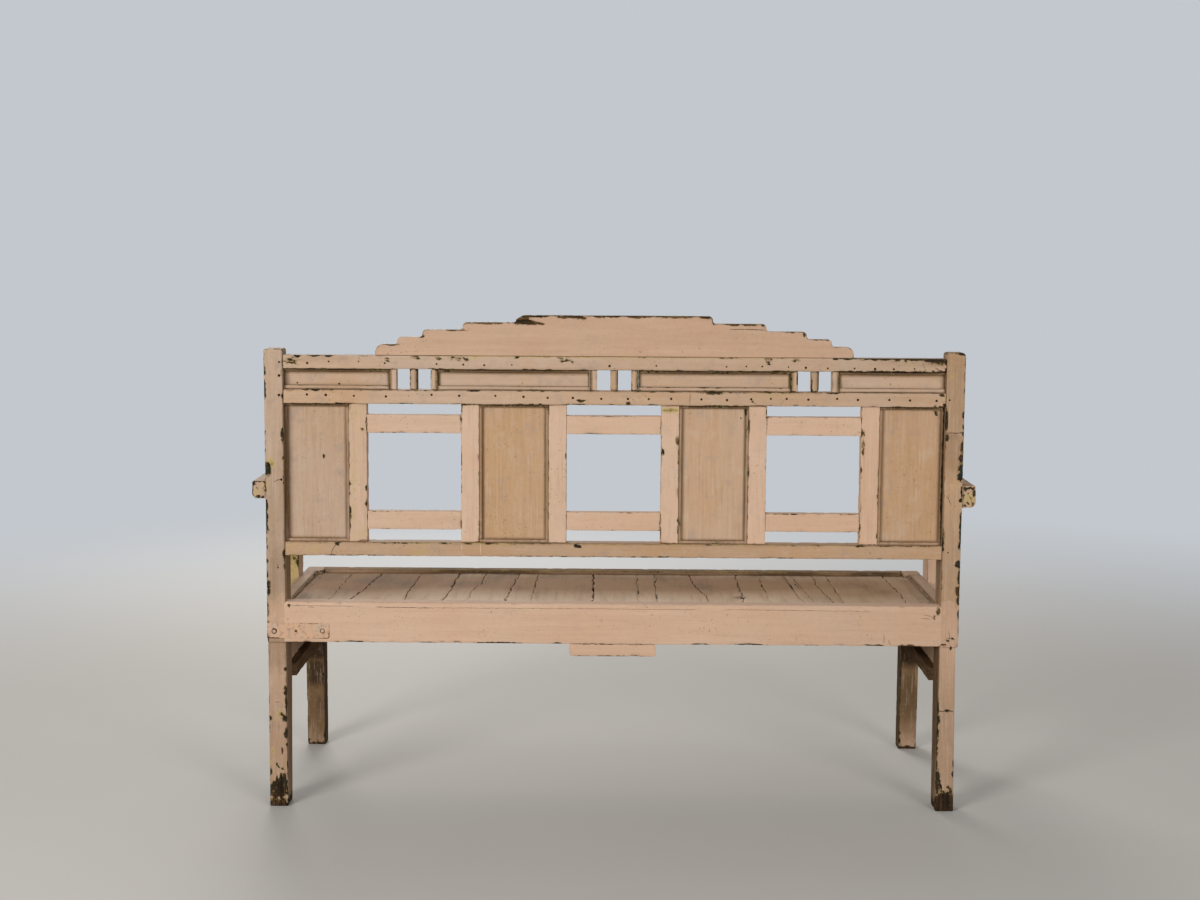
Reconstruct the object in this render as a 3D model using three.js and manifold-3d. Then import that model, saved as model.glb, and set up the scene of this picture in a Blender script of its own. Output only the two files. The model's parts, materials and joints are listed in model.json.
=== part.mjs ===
// A painted wooden bench: four legs, a boarded seat in a raised rim, two arms, and a framed back
// with panels, small windows, a frieze and a stepped crest. Millimetres, +Z up.
// The back of the bench is towards -Y and the sitter faces +Y. While the pieces are made, y = 0 is
// the rear face of the posts; the whole bench is then moved so that the origin is the centre of
// its footprint, on the floor.
import * as THREE from "three";
import { mergeVertices } from "three/addons/utils/BufferGeometryUtils.js";
import Module from "manifold-3d";

const wasm = await Module();
wasm.setup();

// Frame
const benchWidth = 1500;
const frameDepth = 546;
const postWidth = 40;
const postDepth = 74;
const postFootDepth = 60;
const postTopDepth = 50;
const postTopRound = 6;
const postRise = 13.5;
const postTaperRise = 12;
const frontLegWidth = 44;
const frontLegDepth = 56;
const frontLegFootDepth = 42;
const legSetback = 2.5;

// Seat frame
const seatFrameTop = 438;
const apronBottom = 368.5;
const apronHeight = 89;
const apronThickness = 33;
const apronTopRound = 6;
const frontApronHeight = 110;
const frontApronThickness = 36;
const sideRailHeight = 133;
const sideRailThickness = 33;
const battenHeight = 29;
const battenWidth = 38;
const battenReach = 10;
const pendantWidth = 187;
const pendantDrop = 28;
const pendantThickness = 24;
const pendantSetback = 4.5;
const pendantChamfer = 5;

// Seat
const seatBoardThickness = 18;
const seatBoardGap = 1.5;
const seatRecess = 7.5;
const seatFall = 7;
const restGap = 0.3;
const ledgerWidth = 25;
const ledgerHeight = 24;
const ledgerEndGap = 5;
const seatBoardShares = [129, 212, 136, 196, 255, 85, 195, 167, 57];

// Back, from the bottom up
const lowerRailBottom = 558.5;
const lowerRailHeight = 30;
const lowerSlotHeight = 27;
const windowRailHeight = 40;
const windowHeight = 169.5;
const upperSlotHeight = 23.5;
const friezeRailHeight = 30.5;
const friezeHeight = 44.5;
const topRailHeight = 29;

// Back, across
const windowWidth = 203;
const stileWidth = 39;
const backPanelShares = [139, 149.5, 149.5, 139];
const friezeGapWidth = 28;
const friezeDividerWidth = 17;
const friezeStileWidth = 16;

// Back, through its thickness
const railSetback = 4;
const railThickness = 40;
const stileSetback = 14;
const windowRailThickness = 24;
const panelSetback = 26;
const panelThickness = 9;
const panelBeadSetback = 17;
const panelBeadWidth = 6;
const panelFrontBeadThickness = 6;
const panelSideGap = 2;
const panelEndGap = 0.5;
const friezeFaceSetback = 12;
const friezePanelSetback = 22;
const friezePanelThickness = 8;
const friezeStileThickness = 28;
const friezeLowerBeadHeight = 9;
const friezeUpperBeadHeight = 6;
const friezeDividerSetback = 16;
const friezeDividerThickness = 20;

// Crest
const crestHalfWidth = 512.5;
const crestSetback = 14;
const crestThickness = 24;
const crestFirstRise = 23.5;
const crestStepRise = 16;
const crestEndRound = 11;
const crestStepRound = 6;
const crestStepCove = 4;
const crestTreadWidths = [47, 54, 86.5, 114.5];

// Arms
const armTop = 720;
const leftArmThickness = 38;
const rightArmThickness = 48;
const armWidth = 68;
const armLap = 30;
const armRearSetback = 6;
const armFrontSetback = 16;
const armFrontRound = 22;
const armLowerRound = 12;
const armEdgeRound = 4;
const supportThickness = 30;
const supportDepth = 66;
const supportRearPlace = 404;
const supportFootRise = 12;
const supportFootChamfer = 14;

// Mending plate on the rear left corner
const plateLength = 135;
const plateHeight = 33.5;
const plateThickness = 1.5;
const plateRise = 8;
const plateCornerRound = 5;

// Joinery
const tenonGap = 0.3;
const tenonEndGap = 1;
const railTenonLength = 24;
const railTenonThickness = 12;
const railTenonSetback = 18;
const railTenonShoulder = 7;
const apronTenonLength = 25;
const apronTenonThickness = 12;
const apronTenonSetback = 10;
const apronTenonShoulder = 15;
const sideTenonLength = 30;
const sideTenonThickness = 12;
const sideTenonShoulder = 10;
const stileTenonLength = 12;
const stileTenonShoulder = 8;
const stileTenonThickness = 10;
const stileTenonInset = 8;
const windowTenonLength = 15;
const windowTenonShoulder = 7;
const uprightTenonLength = 6;
const uprightTenonShoulder = 4;
const crestTenonWidth = 60;
const crestTenonThickness = 10;
const crestTenonLength = 12;
const crestTenonSpacing = 340;
const supportTenonLength = 15;
const supportTenonShoulder = 8;
const panelTongue = 6;
const friezeTongue = 5;
const cutOverrun = 5;
const arcSteps = 5;

// Heights that follow
const apronTop = apronBottom + apronHeight;
const frontApronBottom = seatFrameTop - frontApronHeight;
const sideRailBottom = seatFrameTop - sideRailHeight;
const battenBottom = sideRailBottom - battenHeight;
const lowerRailTop = lowerRailBottom + lowerRailHeight;
const lowerWindowRailBottom = lowerRailTop + lowerSlotHeight;
const windowBottom = lowerWindowRailBottom + windowRailHeight;
const windowTop = windowBottom + windowHeight;
const upperWindowRailTop = windowTop + windowRailHeight;
const friezeRailBottom = upperWindowRailTop + upperSlotHeight;
const friezeBottom = friezeRailBottom + friezeRailHeight;
const friezeTop = friezeBottom + friezeHeight;
const topRailTop = friezeTop + topRailHeight;
const postHeight = topRailTop + postRise;

// Places across the bench that follow
const outerHalf = benchWidth / 2;
const innerHalf = outerHalf - postWidth;
const frontInnerHalf = outerHalf - frontLegWidth;
const seatHalf = outerHalf - sideRailThickness;
const armOuterHalf = outerHalf + armLap;
const windowUnitWidth = windowWidth + 2 * stileWidth;
const windowCount = backPanelShares.length - 1;
const backPanelsWidth = 2 * innerHalf - windowCount * windowUnitWidth;

// Places from back to front that follow
const frontLegRear = frameDepth - frontLegDepth;
const frontApronRear = frameDepth - frontApronThickness;
const railFront = railSetback + railThickness;
const originPlace = (frameDepth - plateThickness) / 2;

// Paints and woods
const paints = {
  tan: { color: 0xcbb093, roughness: 0.62, metalness: 0 },
  pink: { color: 0xdbb79c, roughness: 0.6, metalness: 0 },
  seat: { color: 0xa58d78, roughness: 0.72, metalness: 0 },
  bare: { color: 0x5a4431, roughness: 0.85, metalness: 0 },
  plate: { color: 0xc9a58a, roughness: 0.5, metalness: 0.1 },
};

// Spans are [low, high]; a block is three spans. A side is -1 for left or 1 for right.
function span(side, near, far) {
  return side > 0 ? [near, far] : [-far, -near];
}

function centred(middle, width) {
  return [middle - width / 2, middle + width / 2];
}

function shrunk([low, high], by) {
  return [low + by, high - by];
}

function pairs(edges) {
  return edges.flatMap((edge, i) => (i % 2 ? [[edges[i - 1], edge]] : []));
}

function divided(width, shares) {
  const whole = shares.reduce((sum, share) => sum + share, 0);
  return shares.map((share) => (width * share) / whole);
}

function grown(block, sideways, endways, endAxis) {
  return block.map(([low, high], axis) => {
    const by = axis === endAxis ? endways : sideways;
    return [low - by, high + by];
  });
}

// Solids
function solidFrom(geometry) {
  geometry.deleteAttribute("normal");
  geometry.deleteAttribute("uv");
  const merged = mergeVertices(geometry);
  return new wasm.Manifold(new wasm.Mesh({
    numProp: 3,
    vertProperties: new Float32Array(merged.attributes.position.array),
    triVerts: new Uint32Array(merged.index.array),
  }));
}

function box([x, y, z]) {
  const geometry = new THREE.BoxGeometry(x[1] - x[0], y[1] - y[0], z[1] - z[0]);
  geometry.translate((x[0] + x[1]) / 2, (y[0] + y[1]) / 2, (z[0] + z[1]) / 2);
  return solidFrom(geometry);
}

function extruded(points, depth, basis, place) {
  const shape = new THREE.Shape(points.map(([a, b]) => new THREE.Vector2(a, b)));
  const geometry = new THREE.ExtrudeGeometry(shape, { depth, bevelEnabled: false });
  geometry.applyMatrix4(new THREE.Matrix4().makeBasis(...basis));
  geometry.translate(...place);
  return solidFrom(geometry);
}

const xAxis = new THREE.Vector3(1, 0, 0);
const yAxis = new THREE.Vector3(0, 1, 0);
const zAxis = new THREE.Vector3(0, 0, 1);

// Outlines in (y, z), (x, z) and (x, y), drawn out along the remaining axis
function prismAlongX(outline, [low, high]) {
  return extruded(outline, high - low, [yAxis, zAxis, xAxis], [low, 0, 0]);
}

function prismAlongY(outline, [low, high]) {
  return extruded(outline, high - low, [xAxis, zAxis, yAxis.clone().negate()], [0, high, 0]);
}

function prismAlongZ(outline, [low, high]) {
  return extruded(outline, high - low, [xAxis, yAxis, zAxis], [0, 0, low]);
}

function arc(centreA, centreB, radius, fromTurn, toTurn) {
  return Array.from({ length: arcSteps + 1 }, (_, i) => {
    const angle = 2 * Math.PI * (fromTurn + ((toTurn - fromTurn) * i) / arcSteps);
    return [centreA + radius * Math.cos(angle), centreB + radius * Math.sin(angle)];
  });
}

function mirrored(outline, side) {
  return outline.map(([a, b]) => [side * a, b]);
}

function joined(first, ...others) {
  return others.reduce((whole, other) => whole.add(other), first);
}

function cut(whole, blocks) {
  return blocks.reduce((left, block) => left.subtract(box(block)), whole);
}

// Tenons: each is the block that enters the next piece
function railTenon(side, bottom, height) {
  return [
    span(side, innerHalf - cutOverrun, innerHalf + railTenonLength),
    [railTenonSetback, railTenonSetback + railTenonThickness],
    shrunk([bottom, bottom + height], railTenonShoulder),
  ];
}

function rearApronTenon(side) {
  return [
    span(side, innerHalf - cutOverrun, innerHalf + apronTenonLength),
    [apronTenonSetback, apronTenonSetback + apronTenonThickness],
    shrunk([apronBottom, apronTop], apronTenonShoulder),
  ];
}

function frontApronTenon(side) {
  const front = frameDepth - apronTenonSetback;
  return [
    span(side, frontInnerHalf - cutOverrun, frontInnerHalf + apronTenonLength),
    [front - apronTenonThickness, front],
    shrunk([frontApronBottom, seatFrameTop], apronTenonShoulder),
  ];
}

function sideTenon(side, depths) {
  return [
    span(side, ...centred(outerHalf - sideRailThickness / 2, sideTenonThickness)),
    depths,
    shrunk([sideRailBottom, seatFrameTop], sideTenonShoulder),
  ];
}

const sideTenonDepths = {
  rear: [postDepth - sideTenonLength, postDepth + cutOverrun],
  front: [frontLegRear - cutOverrun, frontLegRear + sideTenonLength],
};

const stileTenonDepths = [stileSetback + stileTenonInset,
  stileSetback + stileTenonInset + stileTenonThickness];

function stileTenons(across) {
  const width = shrunk(across, stileTenonShoulder);
  return [
    [width, stileTenonDepths, [lowerRailTop - stileTenonLength, lowerRailTop + cutOverrun]],
    [width, stileTenonDepths, [friezeRailBottom - cutOverrun, friezeRailBottom + stileTenonLength]],
  ];
}

function windowTenons(centre, bottom) {
  const height = shrunk([bottom, bottom + windowRailHeight], windowTenonShoulder);
  const edge = windowWidth / 2;
  return [-1, 1].map((side) => [
    span(side, edge - cutOverrun, edge + windowTenonLength).map((x) => x + centre),
    stileTenonDepths,
    height,
  ]);
}

function uprightTenon([across, depths]) {
  return [
    shrunk(across, uprightTenonShoulder),
    shrunk(depths, uprightTenonShoulder),
    [friezeBottom - uprightTenonLength, friezeTop + uprightTenonLength],
  ];
}

function crestTenon(place) {
  return [
    centred(place * crestTenonSpacing, crestTenonWidth),
    centred(crestSetback + crestThickness / 2, crestTenonThickness),
    [topRailTop - crestTenonLength, topRailTop + cutOverrun],
  ];
}

function armUnderside(side) {
  return armTop - (side < 0 ? leftArmThickness : rightArmThickness);
}

function supportTenon(side) {
  const underside = armUnderside(side);
  return [
    shrunk(span(side, outerHalf, outerHalf + supportThickness), supportTenonShoulder),
    shrunk([supportRearPlace, supportRearPlace + supportDepth], supportTenonShoulder),
    [underside - cutOverrun, underside + supportTenonLength],
  ];
}

const crestTenonShares = [-1, 0, 1];
const windowRailBottoms = [lowerWindowRailBottom, windowTop];

// The windows stand between the panels, which share what width the windows and stiles leave
const backPanelWidths = divided(backPanelsWidth, backPanelShares);

const windowCentres = backPanelWidths.slice(1).map((_, i) => {
  const before = backPanelWidths.slice(0, i + 1).reduce((sum, width) => sum + width, 0);
  return before + (i + 1 / 2) * windowUnitWidth - innerHalf;
});

const stileSpans = windowCentres.flatMap((centre) => [-1, 1].map((side) =>
  span(side, windowWidth / 2, windowUnitWidth / 2).map((x) => x + centre)));

function spansBetween(middles, width) {
  const edges = middles.flatMap((middle) => centred(middle, width));
  return pairs([-innerHalf, ...edges, innerHalf]);
}

const friezeGapHalf = friezeDividerWidth / 2 + friezeGapWidth;
const friezeStileReach = friezeGapHalf + friezeStileWidth;

const panelSpans = spansBetween(windowCentres, windowUnitWidth);
const friezeSpans = spansBetween(windowCentres, 2 * friezeStileReach);

const friezeDividers = windowCentres.map((centre) => [
  centred(centre, friezeDividerWidth),
  [friezeDividerSetback, friezeDividerSetback + friezeDividerThickness],
  [friezeBottom, friezeTop],
]);

const friezeStiles = windowCentres.flatMap((centre) => [-1, 1].map((side) => [
  span(side, friezeGapHalf, friezeStileReach).map((x) => x + centre),
  [friezeFaceSetback, friezeFaceSetback + friezeStileThickness],
  [friezeBottom, friezeTop],
]));

function panelPlate(across) {
  return [
    [across[0] - panelTongue, across[1] + panelTongue],
    [panelSetback, panelSetback + panelThickness],
    [lowerRailTop - panelTongue, friezeRailBottom + panelTongue],
  ];
}

function friezePlate(across) {
  return [
    [across[0] - friezeTongue, across[1] + friezeTongue],
    [friezePanelSetback, friezePanelSetback + friezePanelThickness],
    [friezeBottom - friezeTongue, friezeTop + friezeTongue],
  ];
}

const panelGrooves = panelSpans.map((across) => grown(panelPlate(across), tenonGap, tenonGap, 0));
const friezeGrooves = friezeSpans.map((across) => grown(friezePlate(across), tenonGap, tenonGap, 0));
const uprightMortises = [...friezeDividers, ...friezeStiles].map((block) =>
  grown(uprightTenon(block), tenonGap, tenonEndGap, 2));

// Posts and legs
function rearPost(side) {
  const front = [
    [innerHalf, 0],
    [outerHalf - legSetback, 0],
    [outerHalf - legSetback, apronBottom],
    [outerHalf, apronBottom],
    ...arc(outerHalf - postTopRound, postHeight - postTopRound, postTopRound, 0, 1 / 4),
    ...arc(innerHalf + postTopRound, postHeight - postTopRound, postTopRound, 1 / 4, 1 / 2),
  ];
  const profile = [
    [legSetback, 0],
    [postFootDepth, 0],
    [postDepth, battenBottom],
    [postDepth, armTop + postTaperRise],
    [postTopDepth, postHeight],
    [0, postHeight],
    [0, apronBottom],
    [legSetback, apronBottom],
  ];
  const post = prismAlongX(profile, span(side, innerHalf - cutOverrun, outerHalf + cutOverrun))
    .intersect(prismAlongY(mirrored(front, side), [-cutOverrun, postDepth + cutOverrun]));
  return cut(post, [
    grown(railTenon(side, lowerRailBottom, lowerRailHeight), tenonGap, tenonEndGap, 0),
    grown(railTenon(side, friezeRailBottom, friezeRailHeight), tenonGap, tenonEndGap, 0),
    grown(railTenon(side, friezeTop, topRailHeight), tenonGap, tenonEndGap, 0),
    grown(rearApronTenon(side), tenonGap, tenonEndGap, 0),
    grown(sideTenon(side, sideTenonDepths.rear), tenonGap, tenonEndGap, 1),
    panelGrooves.at(side < 0 ? 0 : -1),
    friezeGrooves.at(side < 0 ? 0 : -1),
  ]);
}

function frontLeg(side) {
  const profile = [
    [frameDepth - frontLegFootDepth, 0],
    [frameDepth, 0],
    [frameDepth, seatFrameTop],
    [frontLegRear, seatFrameTop],
    [frontLegRear, battenBottom],
  ];
  return cut(prismAlongX(profile, span(side, frontInnerHalf, outerHalf)), [
    grown(sideTenon(side, sideTenonDepths.front), tenonGap, tenonEndGap, 1),
    grown(frontApronTenon(side), tenonGap, tenonEndGap, 0),
  ]);
}

// Rails of the back
function backRail(bottom, height, cuts) {
  const body = [[-innerHalf, innerHalf], [railSetback, railFront], [bottom, bottom + height]];
  const tenons = [-1, 1].map((side) => box(railTenon(side, bottom, height)));
  return cut(joined(box(body), ...tenons), cuts);
}

const stileMortises = stileSpans.flatMap((across) =>
  stileTenons(across).map((tenon) => grown(tenon, tenonGap, tenonEndGap, 2)));

function lowerBackRail() {
  return backRail(lowerRailBottom, lowerRailHeight, [...panelGrooves, ...stileMortises]);
}

function friezeRail() {
  return backRail(friezeRailBottom, friezeRailHeight,
    [...panelGrooves, ...stileMortises, ...friezeGrooves, ...uprightMortises]);
}

function topRail() {
  const crestMortises = crestTenonShares.map((place) =>
    grown(crestTenon(place), tenonGap, tenonEndGap, 2));
  return backRail(friezeTop, topRailHeight,
    [...friezeGrooves, ...uprightMortises, ...crestMortises]);
}

// Crest: five steps, each riser a small cove under a round corner
function crestOutline() {
  const outline = [[crestHalfWidth, topRailTop]];
  const firstTread = topRailTop + crestFirstRise;
  outline.push(...arc(crestHalfWidth - crestEndRound, firstTread - crestEndRound,
    crestEndRound, 0, 1 / 4));
  crestTreadWidths.reduce(([edge, tread], width) => {
    const riser = edge - width;
    const nextTread = tread + crestStepRise;
    outline.push(...arc(riser + crestStepCove, tread + crestStepCove, crestStepCove, 3 / 4, 1 / 2));
    outline.push(...arc(riser - crestStepRound, nextTread - crestStepRound,
      crestStepRound, 0, 1 / 4));
    return [riser, nextTread];
  }, [crestHalfWidth, firstTread]);
  return [...outline, ...mirrored(outline, -1).reverse()];
}

function crestBoard() {
  const board = prismAlongY(crestOutline(), [crestSetback, crestSetback + crestThickness]);
  return joined(board, ...crestTenonShares.map((place) => box(crestTenon(place))));
}

// Stiles, window rails, panels and dividers of the back
function backStile(across) {
  const body = [across, [stileSetback, railFront], [lowerRailTop, friezeRailBottom]];
  const stile = joined(box(body), ...stileTenons(across).map(box));
  const windowMortises = windowCentres.flatMap((centre) =>
    windowRailBottoms.flatMap((bottom) =>
      windowTenons(centre, bottom).map((tenon) => grown(tenon, tenonGap, tenonEndGap, 0))));
  return cut(stile, [...windowMortises, ...panelGrooves]);
}

function windowRail(centre, bottom) {
  const body = [
    centred(centre, windowWidth),
    [stileSetback, stileSetback + windowRailThickness],
    [bottom, bottom + windowRailHeight],
  ];
  return joined(box(body), ...windowTenons(centre, bottom).map(box));
}

function backPanel(across) {
  const outer = [shrunk(across, panelSideGap), shrunk([lowerRailTop, friezeRailBottom], panelEndGap)];
  const inner = outer.map((edges) => shrunk(edges, panelBeadWidth));
  const beadDepths = [panelBeadSetback, panelSetback + panelThickness + panelFrontBeadThickness];
  const ring = box([outer[0], beadDepths, outer[1]])
    .subtract(box([inner[0], [beadDepths[0] - cutOverrun, beadDepths[1] + cutOverrun], inner[1]]));
  return joined(box(panelPlate(across)), ring);
}

function friezePanel(across) {
  const face = [friezeFaceSetback, friezePanelSetback + friezePanelThickness];
  return joined(
    box(friezePlate(across)),
    box([across, face, [friezeBottom, friezeBottom + friezeLowerBeadHeight]]),
    box([across, face, [friezeTop - friezeUpperBeadHeight, friezeTop]]),
  );
}

function friezeUpright(block) {
  return cut(joined(box(block), box(uprightTenon(block))), friezeGrooves);
}

// Aprons, pendant, side rails and battens under the seat
function rearApron() {
  const profile = [
    [0, apronBottom],
    [apronThickness, apronBottom],
    [apronThickness, apronTop],
    ...arc(apronTopRound, apronTop - apronTopRound, apronTopRound, 1 / 4, 1 / 2),
  ];
  const board = prismAlongX(profile, [-innerHalf, innerHalf]);
  return joined(board, ...[-1, 1].map((side) => box(rearApronTenon(side))));
}

function frontApron() {
  const board = box([
    [-frontInnerHalf, frontInnerHalf],
    [frontApronRear, frameDepth],
    [frontApronBottom, seatFrameTop],
  ]);
  return joined(board, ...[-1, 1].map((side) => box(frontApronTenon(side))));
}

function pendant() {
  const half = pendantWidth / 2;
  const bottom = apronBottom - pendantDrop;
  return prismAlongY([
    [-half, apronBottom],
    [-half, bottom + pendantChamfer],
    [-half + pendantChamfer, bottom],
    [half - pendantChamfer, bottom],
    [half, bottom + pendantChamfer],
    [half, apronBottom],
  ], [pendantSetback, pendantSetback + pendantThickness]);
}

function sideRail(side) {
  const body = [
    span(side, seatHalf, outerHalf),
    [postDepth, frontLegRear],
    [sideRailBottom, seatFrameTop],
  ];
  const tenons = Object.values(sideTenonDepths).map((depths) => box(sideTenon(side, depths)));
  return joined(box(body), ...tenons);
}

function sideBatten(side) {
  const inner = innerHalf - battenReach;
  return box([
    span(side, inner, inner + battenWidth),
    [postDepth, frontLegRear],
    [battenBottom, sideRailBottom],
  ]);
}

// Seat: boards that run from back to front inside the frame and fall a little towards the front
function seatTop(y) {
  const rise = (seatFall * (frontApronRear - y)) / (frontApronRear - apronThickness);
  return seatFrameTop - seatRecess + rise;
}

function seatUnderside(y) {
  return seatTop(y) - seatBoardThickness;
}

function seatBoard(across) {
  const rear = apronThickness + seatBoardGap;
  const front = frontApronRear - seatBoardGap;
  const board = prismAlongX([
    [rear, seatUnderside(rear)],
    [front, seatUnderside(front)],
    [front, seatTop(front)],
    [rear, seatTop(rear)],
  ], across);
  const heights = [frontApronBottom, apronTop];
  return cut(board, [-1, 1].flatMap((side) => [
    [span(side, innerHalf - seatBoardGap, outerHalf), [0, postDepth + seatBoardGap], heights],
    [
      span(side, frontInnerHalf - seatBoardGap, outerHalf),
      [frontLegRear - seatBoardGap, frameDepth],
      heights,
    ],
  ]));
}

function seatBoardSpans() {
  let edge = -seatHalf;
  return divided(2 * seatHalf, seatBoardShares).map((width) => {
    const start = edge;
    edge += width;
    return shrunk([start, edge], seatBoardGap / 2);
  });
}

function seatLedger(half, rear, front) {
  return prismAlongX([
    [rear, seatUnderside(rear) - ledgerHeight],
    [front, seatUnderside(rear) - ledgerHeight],
    [front, seatUnderside(front) - restGap],
    [rear, seatUnderside(rear) - restGap],
  ], [-half, half]);
}

// Arms, lapped on the outer faces of the posts, and the supports planted on the side rails
function arm(side) {
  const inner = armOuterHalf - armWidth;
  const front = frameDepth - armFrontSetback;
  const underside = armUnderside(side);
  const section = [
    ...arc(inner + armEdgeRound, underside + armEdgeRound, armEdgeRound, 1 / 2, 3 / 4),
    ...arc(armOuterHalf - armLowerRound, underside + armLowerRound, armLowerRound, 3 / 4, 1),
    ...arc(armOuterHalf - armEdgeRound, armTop - armEdgeRound, armEdgeRound, 0, 1 / 4),
    ...arc(inner + armEdgeRound, armTop - armEdgeRound, armEdgeRound, 1 / 4, 1 / 2),
  ];
  const plan = [
    [inner - cutOverrun, armRearSetback],
    [armOuterHalf + cutOverrun, armRearSetback],
    [armOuterHalf + cutOverrun, front - armFrontRound],
    ...arc(armOuterHalf - armFrontRound, front - armFrontRound, armFrontRound, 0, 1 / 4),
    ...arc(inner + armFrontRound, front - armFrontRound, armFrontRound, 1 / 4, 1 / 2),
    [inner - cutOverrun, front - armFrontRound],
  ];
  const bar = prismAlongY(mirrored(section, side), [armRearSetback, front])
    .intersect(prismAlongZ(mirrored(plan, side), [underside - cutOverrun, armTop + cutOverrun]));
  return cut(bar, [
    [
      span(side, inner - cutOverrun, outerHalf),
      [0, postDepth],
      [underside - cutOverrun, armTop + cutOverrun],
    ],
    grown(supportTenon(side), tenonGap, tenonEndGap, 2),
  ]);
}

function armSupport(side) {
  const foot = sideRailBottom + supportFootRise;
  const outer = outerHalf + supportThickness;
  const outline = [
    [outerHalf, foot],
    [outer - supportFootChamfer, foot],
    [outer, foot + supportFootChamfer],
    [outer, armUnderside(side)],
    [outerHalf, armUnderside(side)],
  ];
  const depths = [supportRearPlace, supportRearPlace + supportDepth];
  return joined(prismAlongY(mirrored(outline, side), depths), box(supportTenon(side)));
}

// Flat iron plate across the joint of the left post and the rear apron
function mendingPlate() {
  const left = -outerHalf;
  const right = left + plateLength;
  const bottom = apronBottom + plateRise;
  const top = bottom + plateHeight;
  return prismAlongY([
    [left, bottom],
    ...arc(right - plateCornerRound, bottom + plateCornerRound, plateCornerRound, 3 / 4, 1),
    ...arc(right - plateCornerRound, top - plateCornerRound, plateCornerRound, 0, 1 / 4),
    [left, top],
  ], [-plateThickness, 0]);
}

// Assembly
const bench = new THREE.Group();
bench.position.y = -originPlace;

function place(name, solid, paint) {
  const { vertProperties, triVerts } = solid.getMesh();
  const geometry = new THREE.BufferGeometry();
  geometry.setAttribute("position", new THREE.BufferAttribute(vertProperties, 3));
  geometry.setIndex(new THREE.BufferAttribute(triVerts, 1));
  geometry.computeVertexNormals();
  const mesh = new THREE.Mesh(geometry, new THREE.MeshStandardMaterial(paint));
  mesh.name = name;
  bench.add(mesh);
}

for (const [name, side] of [["left", -1], ["right", 1]]) {
  place(`rear_post_${name}`, rearPost(side), paints.tan);
  place(`front_leg_${name}`, frontLeg(side), paints.tan);
  place(`side_rail_${name}`, sideRail(side), paints.tan);
  place(`side_batten_${name}`, sideBatten(side), paints.bare);
  place(`arm_${name}`, arm(side), paints.tan);
  place(`arm_support_${name}`, armSupport(side), paints.tan);
}

place("top_rail", topRail(), paints.tan);
place("frieze_rail", friezeRail(), paints.tan);
place("lower_back_rail", lowerBackRail(), paints.tan);
place("crest_board", crestBoard(), paints.pink);
stileSpans.forEach((across, i) => place(`back_stile_${i + 1}`, backStile(across), paints.pink));
panelSpans.forEach((across, i) => place(`back_panel_${i + 1}`, backPanel(across), paints.tan));
friezeSpans.forEach((across, i) => place(`frieze_panel_${i + 1}`, friezePanel(across), paints.tan));
friezeStiles.forEach((block, i) =>
  place(`frieze_stile_${i + 1}`, friezeUpright(block), paints.tan));
friezeDividers.forEach((block, i) =>
  place(`frieze_divider_${i + 1}`, friezeUpright(block), paints.tan));
windowCentres.forEach((centre, i) => {
  place(`window_rail_lower_${i + 1}`, windowRail(centre, lowerWindowRailBottom), paints.pink);
  place(`window_rail_upper_${i + 1}`, windowRail(centre, windowTop), paints.pink);
});

place("rear_apron", rearApron(), paints.pink);
place("front_apron", frontApron(), paints.pink);
place("rear_pendant", pendant(), paints.pink);

seatBoardSpans().forEach((across, i) =>
  place(`seat_board_${i + 1}`, seatBoard(across), paints.seat));
place("seat_ledger_rear",
  seatLedger(innerHalf - ledgerEndGap, apronThickness, apronThickness + ledgerWidth), paints.bare);
place("seat_ledger_front",
  seatLedger(frontInnerHalf - ledgerEndGap, frontApronRear - ledgerWidth, frontApronRear),
  paints.bare);
place("mending_plate", mendingPlate(), paints.plate);

export default bench;
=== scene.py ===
"""Looks for an old painted wooden bench, seen from behind: worn paint, chipped arrises and split boards."""

import json
import math
from collections import namedtuple

import bmesh
import bpy
import numpy as np
from mathutils import Matrix, Vector, noise
from mathutils.bvhtree import BVHTree


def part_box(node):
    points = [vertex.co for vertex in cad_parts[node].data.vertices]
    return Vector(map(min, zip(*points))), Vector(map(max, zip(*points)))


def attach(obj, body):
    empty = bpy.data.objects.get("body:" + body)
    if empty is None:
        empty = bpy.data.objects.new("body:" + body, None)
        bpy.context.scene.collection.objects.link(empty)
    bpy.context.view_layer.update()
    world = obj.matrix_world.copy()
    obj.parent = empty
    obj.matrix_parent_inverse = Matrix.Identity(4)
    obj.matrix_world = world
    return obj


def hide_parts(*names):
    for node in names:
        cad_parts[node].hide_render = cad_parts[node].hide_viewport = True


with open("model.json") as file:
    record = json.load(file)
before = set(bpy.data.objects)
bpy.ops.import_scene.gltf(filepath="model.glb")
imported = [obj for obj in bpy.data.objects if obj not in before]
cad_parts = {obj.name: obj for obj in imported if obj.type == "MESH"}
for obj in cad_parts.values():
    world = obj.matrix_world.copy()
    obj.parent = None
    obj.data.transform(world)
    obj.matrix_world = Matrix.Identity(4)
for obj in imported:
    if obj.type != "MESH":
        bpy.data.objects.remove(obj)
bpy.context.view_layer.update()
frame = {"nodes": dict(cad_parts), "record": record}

MM = 0.001
AXES = (0, 1, 2)
SIDES = {"left": -1, "right": 1}
# Places in the tables are millimetres, with y = 0 on the rear face of the posts
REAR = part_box("rear_post_left")[0].y

# Wood
ARRIS = 1.2 * MM
GRID = 5.5 * MM
POST_GRID = 4.2 * MM
WELD = 0.01 * MM
FLAT = math.radians(1)
SHARP = math.radians(22)
ARRIS_REACH = 6 * MM
WAVE_DEPTH = 0.5 * MM
WAVE_SCALE = 9
NICK_SCALE = 55
NICK_LIMIT = 0.2
NICK_DEPTH = 7 * MM
CHIP_LIMIT = 0.6
WEAR_SCALE = 17
ROUND_STEPS = 4


def place(x, y, z):
    """A point of the tables in the frame of the model."""
    return Vector((x * MM, REAR + y * MM, z * MM))


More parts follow.
